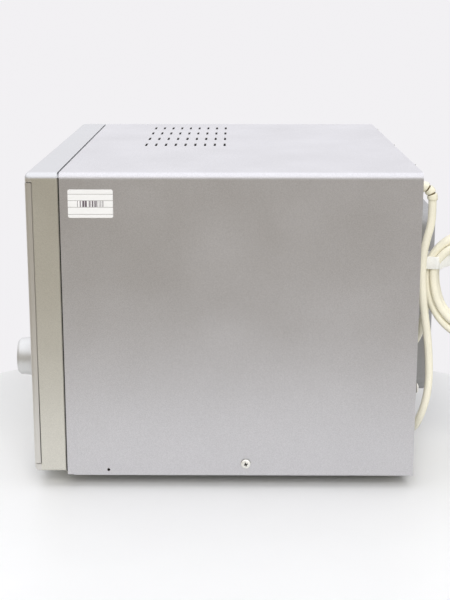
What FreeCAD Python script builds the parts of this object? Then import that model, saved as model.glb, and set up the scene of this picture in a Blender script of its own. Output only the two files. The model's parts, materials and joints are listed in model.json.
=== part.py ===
"""Bench-top reflow oven in a sheet-metal case, as separate pieces in one frame.

Millimetres. X runs to the right as seen from the front, the front faces -Y and Z is up.
The feet stand on Z = 0. The box round the oven, without its cord, is centred on X = 0 and Y = 0.
"""
import FreeCAD
import Part
import math
import os

V = FreeCAD.Vector
os.makedirs("parts", exist_ok=True)

# Case sizes
case_width = 430.0
case_height = 264.0
case_depth = 302.0
foot_gap = 11.0
sheet = 0.8
bend = 5.5
hem_bend = 1.6
hem = 12.0
pan_gap = 1.0
rear_flange = 8.5
seam_gap = 1.6
seam_depth = 2.0
fit_gap = 0.25
cut_past = 1.0
edge_near = 1.0
same_place = 0.01
least_round = 0.4
tap_gap = 0.15

# Front sizes
front_depth = 27.0
frame_lift = 3.5
frame_wall = 3.0
frame_round = 3.8
frame_corner = 4.0
top_band = 7.7
bottom_band = 6.9
rim_depth = 8.0
rim_wall = 3.8
edge_thick = 5.5
panel_width = 113.0
part_gap = 0.7
panel_seam = 0.9
panel_seam_depth = 1.8
door_side_gap = 1.6

# Hinge and door sizes
hinge_radius = 4.2
hinge_flat = 0.1
hinge_space = 0.6
pin_radius = 2.5
pin_in_door = 9.0
pin_in_frame = 4.0
pin_clearance = 0.05
door_bezel = 3.0
glass = 4.0
window_side = 20.0
window_rise = 18.0
window_corner = 8.0
window_step = 14.0
door_edge_round = 1.5
glass_lap = 7.0
glass_gap = 0.3
door_sheet = 1.0
inner_inset = 11.0
inner_lift = 8.0
inner_side_gap = 2.4
inner_corner = 6.0
inner_lip = 9.0
gasket_corner = 10.0
gasket_thick = 3.7
gasket_width = 7.0
gasket_gap = 0.3
gasket_offset = 1.5
hook_width = 4.0
hook_height = 14.0
hook_reach = 24.0
hook_inset = 1.5
hook_nose = 3.0
hook_notch = 6.0
hook_tip = 7.0
hook_web = 9.0
hook_spread = 150.0
hook_room = 1.6
hook_swing = 3.0

# Control sizes
panel_skin = 2.5
panel_rim = 3.0
panel_round = 2.5
display_width = 84.0
display_height = 38.0
display_sink = 0.4
display_corner = 2.0
display_drop = 36.0
lens_thick = 2.0
lens_lap = 2.5
lens_gap = 0.3
key_width = 30.0
key_height = 13.0
key_round = 3.0
key_pitch_x = 40.0
key_pitch_z = 22.0
key_drop = 109.3
key_proud = 0.8
key_travel = 1.2
key_play = 0.35
key_lip = 2.0
key_flange = 1.2
knob_reach = 19.0
knob_base = 17.6
knob_nose = 16.0
knob_round = 2.2
knob_drop = 163.7
knob_lift = 1.0
shaft_radius = 3.0
shaft_clearance = 0.03
encoder_size = 13.0
encoder_thick = 7.0
bushing_wall = 1.5
button_width = 90.0
button_height = 30.0
button_rise = 23.6
button_round = 4.0
button_travel = 4.0
button_rod = 6.0
button_flange = 2.0
button_proud = 0.4
rod_tip = 4.0
board_set = 17.0
board_thick = 1.6
board_side = 2.0
board_top = 5.0
board_low = 12.0
boss_inset = 6.0
boss_radius = 3.5
tact_size = 6.0
tact_thick = 4.0
tact_gap = 0.3
stem_radius = 2.5
catch_length = 42.0
catch_wall = 4.0
catch_front = 2.0
switch_rise = 16.0
switch_length = 28.0
switch_thick = 10.0
pointer_width = 2.0
pointer_depth = 1.2

# Oven sizes
cavity_left = 27.0
cavity_lift = 40.0
cavity_drop = 36.0
cavity_rear = 44.4
divider_set = 1.2
board_wool = 18.0
tube_radius = 6.0
tube_inset = 13.0
tube_pitch = 75.0
tube_forward = 22.0
holder_thick = 8.0
holder_size = 22.0
holder_wall = 2.0
rail_width = 12.0
rail_sheet = 1.0
rail_front = 14.0
rail_back = 4.0
rail_drop = 9.0
rail_lift = 78.0
rack_rod = 2.5
rack_wire = 1.5
rack_wires = 9
rack_inset = 4.0
rack_corner = 14.0
baffle_width = 180.0
baffle_height = 160.0
baffle_depth = 22.0
baffle_corner = 10.0
baffle_hole = 4.0
baffle_ring = 14.0
baffle_slot = 10.0
baffle_slot_half = 3.0
baffle_slot_pitch = 22.0
fan_radius = 60.0
fan_blade = 12.0
fan_plate = 1.2
fan_blades = 8
fan_hub = 12.0
fan_blade_thick = 1.4
fan_rim = 3.0
fan_set = 1.0
shaft_tip = 2.0
shaft_end = 6.0
motor_radius = 34.0
motor_length = 20.0
motor_plate = 2.0
motor_boss = 8.0
motor_round = 3.0
motor_wing = 14.0
motor_wing_height = 44.0
boss_length = 14.0
shaft_hole = 10.0
probe_radius = 1.6
probe_length = 60.0
probe_nut = 6.0
probe_side = 14.0
probe_rise = 37.6
probe_nut_length = 8.0
duct_margin = 6.0
duct_columns = 6
duct_rows = 3
duct_hole = 5.0
hat_width = 40.0
hat_foot = 11.0
hat_sheet = 1.0
hat_spread = 163.0
hat_side = 8.0

# Rear cover and cooling fan sizes
cover_reach = 35.0
cover_left = 30.0
cover_right = 19.0
cover_low = 29.5
cover_drop = 54.0
cover_corner = 18.0
cover_edge = 6.0
cover_lip = 9.0
cover_slots = 9
cover_slot_pitch = 20.0
cover_slot_length = 36.0
cover_slot_half = 2.0
cover_slot_rise = 38.0
cool_size = 80.0
cool_depth = 25.0
cool_bore = 38.0
cool_hub = 18.0
cool_wall = 2.0
cool_play = 1.2
cool_blades = 7
cool_shaft = 2.0
cool_lift = 84.0
cool_corner = 4.0
cool_arm = 4.0
cool_arm_depth = 3.0
cool_post = 16.0
cool_blade = 18.0
cool_blade_thick = 1.6
cool_pitch = 55.0
base_slots = 8
base_slot_pitch = 10.0
base_slot_length = 50.0
base_slot_half = 2.2
sink_side = 8.0
sink_length = 90.0
sink_height = 34.0
sink_base = 6.0
sink_fins = 8
sink_fin = 2.0
relay_width = 58.0
relay_depth = 40.0
relay_height = 22.0
relay_pitch = 44.0
relay_corner = 2.0
power_front = 70.0
power_length = 140.0
power_gap = 4.0
power_stand = 8.0
core_rise = 36.0
core_length = 50.0
core_height = 44.0
can_radius = 9.0
can_height = 28.0
can_gap = 3.6
grille_slots = 9
grille_pitch = 8.0
grille_width = 4.0

# Vent field, counted from the cavity's left wall and the middle of the case's depth
vent_rows = 4
vent_columns = 9
vent_row_pitch = 54.4
vent_column_pitch = 9.54
vent_length = 22.0
vent_width = 2.2
vent_in = 109.3
vent_forward = 52.5

# Small fittings
screw_head = 4.0
screw_rise = 2.4
screw_shank = 1.9
screw_hole = 2.1
screw_lift = 11.3
screw_back = 156.6
screw_length = 7.0
screw_round = 1.08
recess_length = 4.4
recess_width = 0.72
recess_depth = 1.08
dimple_radius = 1.3
dimple_front = 37.4
dimple_lift = 5.5
notch_length = 5.5
notch_rise = 1.2
label_width = 37.4
label_height = 23.6
label_front = 8.5
label_drop = 13.6
label_thick = 0.15
label_corner = 1.6
foot_radius = 12.0
foot_inset = 48.0
foot_draft = 1.4
foot_round = 1.2
rear_screw_side = 60.0
rear_screw_low = 79.0
cover_screw_inset = 26.0

# Cord sizes
cord_radius = 3.5
relief_inset = 33.0
relief_sink = 15.0
relief_radius = 4.3
relief_rib = 5.1
relief_run = 5.5
relief_turn = 8.0
relief_drop = 3.0
relief_nut = 6.6
relief_nut_thick = 4.0
relief_ribs = 3
rib_angle = 17.0
rib_spacing = 31.0
rib_first = 6.0
hank_radius = 52.0
hank_step = 8.6
hank_layer = 8.6
hank_turns = 2.0
hank_back = 60.0
hank_z = 172.0
hank_turned = 15.0
tail_length = 42.0
tie_wall = 1.2
tie_height = 13.0
tie_play = 0.4
tie_slack = 1.5
tie_angle = 150.0
plug_radius = 17.0
plug_length = 30.0
plug_neck = 9.0
plug_taper = 14.0
plug_collar = 2.0
plug_cap = 6.0
prong_radius = 2.4
prong_length = 19.0
prong_pitch = 19.0

# Planes that the sizes set
x_side = case_width / 2
z_low = foot_gap
z_top = z_low + case_height
y_knob = -(knob_reach + front_depth + case_depth + cover_reach) / 2
y_face = y_knob + knob_reach
y_seam = y_face + front_depth
y_back = y_seam + case_depth
y_cover = y_back + cover_reach
y_rear = y_back - sheet
y_inside = y_rear - sheet
z_pan = z_low + sheet
z_floor = z_pan + sheet
z_frame = z_low + frame_lift
z_open_low = z_frame + bottom_band
z_open_top = z_top - top_band
panel_left = x_side - panel_width
door_right = panel_left - door_side_gap
door_left = -x_side
panel_x = panel_left + panel_width / 2
cavity_x0 = -x_side + cavity_left
wool_x1 = panel_left - divider_set
cavity_x1 = wool_x1 - board_wool - sheet
cavity_width = cavity_x1 - cavity_x0
cavity_z0 = z_low + cavity_lift
cavity_z1 = z_top - cavity_drop
cavity_height = cavity_z1 - cavity_z0
y_plate = y_seam + door_sheet
cavity_y1 = y_inside - cavity_rear
cavity_depth = cavity_y1 - y_plate
cavity_x = (cavity_x0 + cavity_x1) / 2
cavity_y = (y_plate + cavity_y1) / 2
cavity_z = (cavity_z0 + cavity_z1) / 2
wool_z0 = cavity_z0 - sheet - board_wool
wool_z1 = cavity_z1 + sheet + board_wool
wool_y1 = cavity_y1 + sheet + board_wool
hinge_x = -x_side + hinge_radius
hinge_y = y_face + hinge_radius
y_lip = y_face + 2 * hinge_radius
y_board = y_face + board_set
cool_x = (wool_x1 + sheet + x_side) / 2
cool_z = z_low + cool_lift
cover_x0 = -x_side + cover_left
cover_x1 = cavity_x1 - cover_right
cover_x = (cover_x0 + cover_x1) / 2
vent_x = cavity_x0 + vent_in
vent_middle_y = (y_seam + y_back) / 2 - vent_forward
knob_height = z_open_top - knob_drop
key_middle = z_open_top - key_drop
button_middle = z_open_low + button_rise
window_width = cavity_width - 2 * window_side
window_height = cavity_height - 2 * window_rise
relief_x = x_side - relief_inset
relief_z = z_top - relief_sink


# Shapes that many pieces share
def box(x, y, z):
    """A block between pairs of limits."""
    return Part.makeBox(x[1] - x[0], y[1] - y[0], z[1] - z[0], V(x[0], y[0], z[0]))


def about(middle, size):
    """Limits of a size round its middle."""
    return (middle - size / 2, middle + size / 2)


def edges_along(shape, axis, keep=None):
    """The straight edges along one axis, or those whose middle passes a test."""
    found = []
    for edge in shape.Edges:
        span = edge.Vertexes[-1].Point - edge.Vertexes[0].Point
        if abs(span[axis]) > 0.999 * edge.Length and (keep is None or keep(edge.CenterOfMass)):
            found.append(edge)
    return found


def slab(x, y, z, axis, radius):
    """A block whose four edges along one axis are round."""
    block = box(x, y, z)
    return block.makeFillet(radius, edges_along(block, axis))


def rod(radius, start, end):
    """A round bar between two points."""
    return Part.makeCylinder(radius, (end - start).Length, start, end - start)


def bar_y(radius, x, z, y):
    """A round bar along Y."""
    return rod(radius, V(x, y[0], z), V(x, y[1], z))


def stadium(middle, along, across, depth):
    """A slot: along is its straight length, across half its width, depth the way through."""
    start = middle - along * 0.5
    end = middle + along * 0.5
    reach = V(along).normalize() * across.Length
    outline = [
        Part.LineSegment(start + across, end + across),
        Part.Arc(end + across, end + reach, end - across),
        Part.LineSegment(end - across, start - across),
        Part.Arc(start - across, start - reach, start + across),
    ]
    return Part.Face(Part.Wire([piece.toShape() for piece in outline])).extrude(depth)


def ring(x, y, z, wall, axis, radius):
    """A rounded frame of one wall width, open along an axis."""
    limits = [x, y, z]
    inner = [(low + wall, high - wall) for low, high in limits]
    inner[axis] = limits[axis]
    hole = slab(inner[0], inner[1], inner[2], axis, max(radius - wall, least_round))
    return slab(x, y, z, axis, radius).cut(hole)


def sleeve(shrink, y, low):
    """The case's outline drawn in by a distance, as a block along Y."""
    block = box((-x_side + shrink, x_side - shrink), y, (low, z_top - shrink))
    return block.makeFillet(bend - shrink, edges_along(block, 1, lambda middle: middle.z > z_top - bend))


def screw(place, way):
    """A pan-head screw whose head sits on a face at place and whose shank runs along way."""
    head = Part.makeCylinder(screw_head, screw_rise, place - way * screw_rise, way)
    top = place - way * screw_rise
    rim = [edge for edge in head.Edges if edge.Closed and (edge.CenterOfMass - top).Length < same_place]
    head = head.makeFillet(screw_round, rim)
    side = V(0, 0, 1) if abs(way.z) < 0.5 else V(1, 0, 0)
    for spin in (0, 90):
        groove = Part.makeBox(recess_length, recess_width, 2 * recess_depth)
        groove.translate(V(-recess_length / 2, -recess_width / 2, -recess_depth))
        turned = FreeCAD.Placement(V(0, 0, 0), FreeCAD.Rotation(V(0, 0, 1), spin))
        on_head = FreeCAD.Placement(top, FreeCAD.Rotation(side.cross(way), side, way, "ZXY"))
        groove.Placement = on_head.multiply(turned).multiply(groove.Placement)
        head = head.cut(groove)
    shank = rod(screw_shank, place - way * screw_rise / 2, place + way * screw_length)
    return head.fuse(shank).removeSplitter()


def corners_of(first, second, inset):
    """The four corners of a rectangle, drawn in by a distance."""
    return [
        (a, b)
        for a in (first[0] + inset, first[1] - inset)
        for b in (second[0] + inset, second[1] - inset)
    ]


def save(name, shape):
    """Write one node."""
    solids = shape.Solids
    shape = solids[0] if len(solids) == 1 else Part.makeCompound(solids)
    if not shape.isValid():
        print("not valid:", name)
    shape.exportStep("parts/" + name + ".step")
    print(name, len(solids), round(shape.Volume))


# Screw places, shared by the screws and the holes they pass
side_screw_y = y_seam + screw_back
side_screw_z = z_low + screw_lift
rear_screw_places = [
    V(side * (x_side - rear_screw_side), y_back, z_top - rear_flange / 2)
    for side in (-1, 0, 1)
]
rear_screw_places += [
    V(side * (x_side - rear_flange / 2), y_back, z_low + rear_screw_low)
    for side in (-1, 1)
]
cover_z0 = z_low + cover_low
cover_z1 = z_top - cover_drop
cover_screw_places = [
    V(x, y_rear + sheet, z)
    for x in (cover_x0 - cover_lip / 2, cover_x1 + cover_lip / 2)
    for z in (cover_z0 + cover_screw_inset, cover_z1 - cover_screw_inset)
]


# Case
def wrapper():
    front = y_seam + seam_gap
    outer = sleeve(0, (front, y_back), z_low)
    outer = outer.makeFillet(hem_bend, edges_along(outer, 1, lambda middle: middle.z < z_low + edge_near))
    inner = sleeve(sheet, (front - cut_past, y_rear), z_pan)
    low = edges_along(inner, 1, lambda middle: middle.z < z_pan + edge_near)
    skin = outer.cut(inner.makeFillet(hem_bend - sheet, low))
    window_x = (-x_side + rear_flange, x_side - rear_flange)
    window = box(window_x, (y_back - 2 * sheet, y_back + sheet), (z_low - cut_past, z_top - rear_flange))
    bottom_x = (-x_side + hem, x_side - hem)
    bottom = box(bottom_x, (front - cut_past, y_back + cut_past), (z_low - cut_past, z_pan + cut_past))
    cuts = [window, bottom]
    for row in range(vent_rows):
        for column in range(vent_columns):
            x = vent_x + (row - (vent_rows - 1) / 2) * vent_row_pitch
            y = vent_middle_y + (column - (vent_columns - 1) / 2) * vent_column_pitch
            low = V(x, y, z_top - 3 * sheet)
            straight = V(vent_length - vent_width, 0, 0)
            cuts.append(stadium(low, straight, V(0, vent_width / 2, 0), V(0, 0, 6 * sheet)))
    notch_y = (front - cut_past, front + notch_length)
    for side in (-1, 1):
        x = side * x_side
        cuts.append(side_screw_bore(x))
        cuts.append(dimple_bore(x))
        cuts.append(box(about(x, 4 * hem), notch_y, (z_low - cut_past, z_low + notch_rise)))
    for place in rear_screw_places:
        cuts.append(bar_y(screw_hole, place.x, place.z, (y_back - 3 * sheet, y_back + sheet)))
    return skin.cut(cuts)


def side_screw_bore(x):
    """A hole through the side wall at x for its screw."""
    middle = V(x, side_screw_y, side_screw_z)
    return rod(screw_hole, middle - V(screw_length, 0, 0), middle + V(screw_length, 0, 0))


def dimple_bore(x):
    """A small hole through the side wall at x, low down near the front."""
    middle = V(x, y_seam + dimple_front, z_low + dimple_lift)
    return rod(dimple_radius, middle - V(4 * sheet, 0, 0), middle + V(4 * sheet, 0, 0))


def base_pan():
    wide = x_side - sheet
    y = (y_seam + rim_depth + pan_gap, y_inside)
    pan = box((-wide, wide), y, (z_pan, z_floor))
    for side in (-1, 1):
        lip_x = sorted((side * wide, side * (wide - sheet)))
        pan = pan.fuse(box(lip_x, y, (z_pan, z_low + 2 * screw_lift)))
    cuts = []
    for side in (-1, 1):
        cuts += [side_screw_bore(side * wide), dimple_bore(side * wide)]
    for column in range(base_slots):
        x = cool_x + (column - (base_slots - 1) / 2) * base_slot_pitch
        straight = V(0, base_slot_length - 2 * base_slot_half, 0)
        cuts.append(stadium(V(x, cavity_y, z_low), straight, V(base_slot_half, 0, 0), V(0, 0, 4 * sheet)))
    pan = pan.removeSplitter()
    sides = edges_along(pan, 1, lambda middle: abs(abs(middle.x) - wide) < same_place)
    low = [edge for edge in sides if edge.CenterOfMass.z < z_pan + edge_near]
    return pan.makeFillet(hem_bend, low).cut(cuts)


def rear_panel():
    panel = sleeve(sheet + fit_gap, (y_inside, y_rear), z_floor)
    through = (y_inside - cut_past, y_rear + cut_past)
    cuts = [bar_y(relief_radius + tap_gap, relief_x, relief_z, through)]
    cuts.append(bar_y(motor_boss + fit_gap, cavity_x, cavity_z, through))
    for place in rear_screw_places + cover_screw_places:
        cuts.append(bar_y(screw_hole, place.x, place.z, through))
    for row in range(grille_slots):
        rise = (row - (grille_slots - 1) / 2) * grille_pitch
        half = math.sqrt(cool_bore ** 2 - rise ** 2)
        middle = V(cool_x, through[0], cool_z + rise)
        straight = V(2 * half - grille_width, 0, 0)
        cuts.append(stadium(middle, straight, V(0, 0, grille_width / 2), V(0, through[1] - through[0], 0)))
    return panel.cut(cuts)


def rear_cover():
    x = (cover_x0, cover_x1)
    z = (cover_z0, cover_z1)
    outer = slab(x, (y_rear, y_cover), z, 1, cover_corner)
    rim = [edge for edge in outer.Edges if edge.BoundBox.YMin > y_cover - same_place]
    outer = outer.makeFillet(cover_edge, rim)
    inside_x = (x[0] + sheet, x[1] - sheet)
    inside_z = (z[0] + sheet, z[1] - sheet)
    inside = slab(inside_x, (y_rear - cut_past, y_cover - sheet), inside_z, 1, cover_corner - sheet)
    rim = [edge for edge in inside.Edges if edge.BoundBox.YMin > y_cover - sheet - same_place]
    inside = inside.makeFillet(cover_edge - sheet, rim)
    lip_x = (x[0] - cover_lip, x[1] + cover_lip)
    lip = slab(lip_x, (y_rear, y_rear + sheet), (z[0] - cover_lip, z[1] + cover_lip), 1, cover_corner)
    cuts = [inside]
    for place in cover_screw_places:
        cuts.append(bar_y(screw_hole, place.x, place.z, (y_rear - sheet, y_rear + 2 * sheet)))
    for column in range(cover_slots):
        for rise in (-cover_slot_rise, cover_slot_rise):
            along = (column - (cover_slots - 1) / 2) * cover_slot_pitch
            middle = V(cover_x + along, y_cover - 2 * sheet, (z[0] + z[1]) / 2 + rise)
            straight = V(0, 0, cover_slot_length - 2 * cover_slot_half)
            cuts.append(stadium(middle, straight, V(cover_slot_half, 0, 0), V(0, 4 * sheet, 0)))
    return outer.fuse(lip).cut(cuts)


def front_frame():
    outer = box((-x_side, x_side), (y_face, y_seam), (z_frame, z_top))
    outer = outer.makeFillet(bend, edges_along(outer, 1, lambda middle: middle.z > z_top - edge_near))
    low = edges_along(outer, 1, lambda middle: middle.z < z_frame + edge_near)
    outer = outer.makeFillet(frame_corner, low)
    front = [edge for edge in outer.Edges if edge.BoundBox.YMax < y_face + same_place]
    outer = outer.makeFillet(frame_round, front)
    wide = x_side - frame_wall
    open_z = (z_open_low, z_open_top)
    before = y_face - cut_past
    hollow = box((-wide, wide), (before, y_seam + cut_past), open_z)
    right = box((wide - cut_past, x_side + cut_past), (before, y_face + edge_thick), open_z)
    seam_x = (x_side - panel_seam_depth, x_side + cut_past)
    seam = box(seam_x, (y_face, y_face + edge_thick + panel_seam), open_z)
    left = box((-x_side - cut_past, -wide + cut_past), (before, y_lip + hinge_space), open_z)
    tuck = sheet + fit_gap
    neck = sleeve(seam_depth, (y_seam, y_seam + seam_gap), z_frame)
    rim = neck.fuse(sleeve(tuck, (y_seam + seam_gap, y_seam + rim_depth), z_frame))
    inner_x = (-x_side + tuck + rim_wall, x_side - tuck - rim_wall)
    inner_y = (y_seam - cut_past, y_seam + rim_depth + cut_past)
    rim = rim.cut(box(inner_x, inner_y, (z_frame + rim_wall, z_top - tuck - rim_wall)))
    bar_x = (panel_left, panel_left + frame_wall)
    bar = box(bar_x, (y_face + edge_thick, y_seam), (z_open_low - cut_past, z_open_top + cut_past))
    frame = outer.cut([hollow, right, left, seam]).fuse([rim, bar])
    return frame.cut(hinge_rods(pin_radius, 0)).removeSplitter()


def hinge_spans():
    """Heights between which the lower and the upper hinge pin run."""
    return [
        (z_open_low - pin_in_frame, z_open_low + part_gap + pin_in_door),
        (z_open_top - part_gap - pin_in_door, z_open_top + pin_in_frame),
    ]


def hinge_rods(radius, past):
    """Round bars along the two hinge pins, each a distance longer at both ends."""
    rods = []
    for low, high in hinge_spans():
        rods.append(rod(radius, V(hinge_x, hinge_y, low - past), V(hinge_x, hinge_y, high + past)))
    return rods


def hinge_pins():
    return Part.makeCompound(hinge_rods(pin_radius, 0))


def front_plate():
    tuck = sheet + fit_gap + rim_wall
    x = (-x_side + tuck, panel_left + frame_wall)
    plate = box(x, (y_seam, y_plate), (z_frame + rim_wall, z_top - tuck))
    mouth = box((cavity_x0, cavity_x1), (y_seam - cut_past, y_plate + cut_past), (cavity_z0, cavity_z1))
    slots = [hook_box(z) for z in hook_heights()]
    return plate.cut([mouth] + slots)


def divider_wall():
    wall = box((wool_x1, wool_x1 + sheet), (y_plate, y_inside), (z_floor, z_top - bend))
    rim_y = (y_plate - cut_past, y_seam + rim_depth + fit_gap)
    rim = box(about(wool_x1, 4 * sheet), rim_y, (z_floor - cut_past, z_frame + rim_wall))
    return wall.cut(rim)


def feet():
    pads = []
    for x in (-x_side + foot_inset, x_side - foot_inset):
        for y in (y_seam + foot_inset, y_back - foot_inset):
            pad = Part.makeCone(foot_radius - foot_draft, foot_radius, z_pan, V(x, y, 0))
            low = [edge for edge in pad.Edges if edge.BoundBox.ZMax < same_place]
            pads.append(pad.makeFillet(foot_round, low))
    return Part.makeCompound(pads)


def side_screws():
    pair = []
    for side in (-1, 1):
        pair.append(screw(V(side * x_side, side_screw_y, side_screw_z), V(-side, 0, 0)))
    return Part.makeCompound(pair)


def rear_screws():
    places = rear_screw_places + cover_screw_places
    return Part.makeCompound([screw(place, V(0, -1, 0)) for place in places])


def side_label():
    x = (x_side, x_side + label_thick)
    y = (y_seam + label_front, y_seam + label_front + label_width)
    z = (z_top - label_drop - label_height, z_top - label_drop)
    return slab(x, y, z, 0, label_corner)


# Door
def door_z():
    return (z_open_low + part_gap, z_open_top - part_gap)


def door_middle():
    return cavity_x, cavity_z


def door_frame():
    frame = box((door_left, door_right), (y_face, y_lip), door_z())
    hinge_edges = edges_along(frame, 2, lambda middle: middle.x < door_left + edge_near)
    frame = frame.makeFillet(hinge_radius - hinge_flat, hinge_edges)
    far_edges = edges_along(frame, 2, lambda middle: middle.x > door_right - edge_near)
    front = [edge for edge in far_edges if edge.CenterOfMass.y < y_face + edge_near]
    frame = frame.makeFillet(door_edge_round, front)
    x, z = door_middle()
    through = (y_face - cut_past, y_lip + cut_past)
    hole = slab(about(x, window_width), through, about(z, window_height), 1, window_corner)
    wide = window_width + 2 * (glass_lap + glass_gap)
    high = window_height + 2 * (glass_lap + glass_gap)
    pocket = box(about(x, wide), (y_face + door_bezel, y_lip + cut_past), about(z, high))
    return frame.cut([hole, pocket] + hinge_rods(pin_radius + pin_clearance, fit_gap))


def door_window():
    x, z = door_middle()
    y = y_face + door_bezel
    wide = window_width + 2 * glass_lap
    high = window_height + 2 * glass_lap
    return box(about(x, wide), (y, y + glass), about(z, high))


def inner_limits():
    x = (door_left + inner_inset, door_right - inner_side_gap)
    y = (y_lip, y_seam - gasket_thick - gasket_gap)
    z = (door_z()[0] + inner_lift, door_z()[1] - inner_lift)
    return x, y, z


def door_inner_panel():
    x, y, z = inner_limits()
    wall = door_sheet
    tray = slab(x, y, z, 1, inner_corner)
    inside_x = (x[0] + wall, x[1] - wall)
    inside_z = (z[0] + wall, z[1] - wall)
    inside = slab(inside_x, (y[0] - cut_past, y[1] - wall), inside_z, 1, inner_corner - wall)
    lip = slab(x, (y[0], y[0] + wall), z, 1, inner_corner)
    open_x = (x[0] + inner_lip, x[1] - inner_lip)
    lip = lip.cut(box(open_x, (y[0] - cut_past, y[0] + 2 * wall), (z[0] + inner_lip, z[1] - inner_lip)))
    middle_x, middle_z = door_middle()
    wide = window_width - 2 * window_step
    high = window_height - 2 * window_step
    through = (y[1] - 2 * wall, y[1] + cut_past)
    window = slab(about(middle_x, wide), through, about(middle_z, high), 1, inner_corner)
    return tray.cut([inside, window]).fuse(lip).removeSplitter()


def door_inner_glass():
    y = inner_limits()[1][1] - door_sheet
    x, z = door_middle()
    wide = window_width - 2 * window_step + 2 * glass_lap
    high = window_height - 2 * window_step + 2 * glass_lap
    return box(about(x, wide), (y - glass, y), about(z, high))


def door_gasket():
    out = gasket_offset + gasket_width
    x = (cavity_x0 - out, cavity_x1 + out)
    z = (cavity_z0 - out, cavity_z1 + out)
    y = (y_seam - gasket_gap - gasket_thick, y_seam - gasket_gap)
    return ring(x, y, z, gasket_width, 1, gasket_corner)


def hook_heights():
    return [cavity_z + side * hook_spread / 2 for side in (-1, 1)]


def hook_x():
    x1 = inner_limits()[0][1] - hook_inset
    return (x1 - hook_width, x1)


def hook_box(z):
    """The slot that a hook passes, with room for its swing."""
    x = hook_x()
    high = hook_height + 2 * hook_room
    wide = (x[0] - hook_room, x[1] + hook_swing)
    return box(wide, (y_seam - cut_past, y_plate + cut_past), about(z, high))


def latch_hooks():
    y0 = inner_limits()[1][1]
    hooks = []
    for z in hook_heights():
        hook = box(hook_x(), (y0, y0 + hook_reach), about(z, hook_height))
        tip = y0 + hook_reach
        hook = hook.makeFillet(hook_nose, edges_along(hook, 0, lambda middle: middle.y > tip - edge_near))
        bite = (tip - hook_tip - hook_notch, tip - hook_tip)
        below = (z - hook_height, z + hook_height / 2 - hook_web)
        notch = box(about(hook_x()[0], 4 * hook_width), bite, below)
        hooks.append(hook.cut(notch))
    return Part.makeCompound(hooks)


# Controls
def key_places():
    """The four keys, by name."""
    high = key_middle + key_pitch_z / 2
    low = key_middle - key_pitch_z / 2
    left = panel_x - key_pitch_x / 2
    right = panel_x + key_pitch_x / 2
    return {
        "key_start": (left, high),
        "key_stop": (right, high),
        "key_up": (left, low),
        "key_down": (right, low),
    }


def display_z():
    return z_open_top - display_drop


def board_limits():
    x = (panel_left + frame_wall + board_side, x_side - frame_wall - board_side)
    return x, (button_middle + button_height / 2 + board_low, z_open_top - board_top)


def boss_places():
    x, z = board_limits()
    return corners_of(x, z, boss_inset)


def control_panel():
    z = (z_open_low + part_gap, z_open_top - part_gap)
    panel = box((panel_left, x_side), (y_face, y_face + edge_thick), z)
    outer = edges_along(panel, 2, lambda middle: middle.x > x_side - edge_near)
    front = [edge for edge in outer if edge.CenterOfMass.y < y_face + edge_near]
    panel = panel.makeFillet(panel_round, front)
    pocket_x = (panel_left + panel_rim, x_side - panel_rim)
    pocket_y = (y_face + panel_skin, y_face + edge_thick + cut_past)
    pocket = box(pocket_x, pocket_y, (z[0] + panel_rim, z[1] - panel_rim))
    through = (y_face - cut_past, y_face + edge_thick + cut_past)
    display_limits = about(display_z(), display_height)
    display = slab(about(panel_x, display_width), through, display_limits, 1, display_corner)
    holes = [pocket, display]
    for x, height in key_places().values():
        wide = key_width + 2 * key_play
        tall = key_height + 2 * key_play
        holes.append(slab(about(x, wide), through, about(height, tall), 1, key_round + key_play))
    holes.append(bar_y(shaft_radius + bushing_wall + key_play, panel_x, knob_height, through))
    wide = button_width + 2 * key_play
    tall = button_height + 2 * key_play
    corner = button_round + key_play
    holes.append(slab(about(panel_x, wide), through, about(button_middle, tall), 1, corner))
    bosses = [bar_y(boss_radius, x, height, (y_face + panel_skin, y_board)) for x, height in boss_places()]
    return panel.cut(holes).fuse(bosses)


def display_lens():
    z = display_z()
    deep = (y_face + display_sink, y_face + panel_skin)
    face = slab(about(panel_x, display_width), deep, about(z, display_height), 1, display_corner)
    back = (y_face + panel_skin, y_face + panel_skin + lens_thick)
    wide = display_width + 2 * lens_lap
    flange = box(about(panel_x, wide), back, about(z, display_height + 2 * lens_lap))
    return face.fuse(flange).removeSplitter()


def display_module():
    back = y_face + panel_skin + lens_thick
    z = about(display_z(), display_height + lens_lap)
    return box(about(panel_x, display_width - lens_lap), (back + lens_gap, y_board), z)


def control_board():
    x, z = board_limits()
    return box(x, (y_board, y_board + board_thick), z)


def encoder():
    body_y = (y_board - encoder_thick, y_board)
    body = box(about(panel_x, encoder_size), body_y, about(knob_height, encoder_size))
    bushing_y = (y_face + panel_skin, y_board - encoder_thick)
    bushing = bar_y(shaft_radius + bushing_wall, panel_x, knob_height, bushing_y)
    bore = bar_y(shaft_radius + shaft_clearance, panel_x, knob_height, (y_face, y_board - board_thick))
    return body.fuse(bushing).cut(bore).removeSplitter()


def knob():
    back = y_face - knob_lift
    cone = Part.makeCone(knob_base, knob_nose, back - y_knob, V(panel_x, back, knob_height), V(0, -1, 0))
    nose = [edge for edge in cone.Edges if abs(edge.BoundBox.YMax - y_knob) < same_place]
    cone = cone.makeFillet(knob_round, nose)
    return cone.cut([shaft_bar(), knob_pointer()])


def shaft_bar():
    y = (y_knob + 2 * knob_round, y_board - board_thick - lens_gap)
    return bar_y(shaft_radius, panel_x, knob_height, y)


def knob_pointer():
    edge = knob_height + knob_nose - knob_round
    z = (edge - knob_nose / 2, edge - pointer_width / 2)
    return box(about(panel_x, pointer_width), (y_knob, y_knob + pointer_depth), z)


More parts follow.
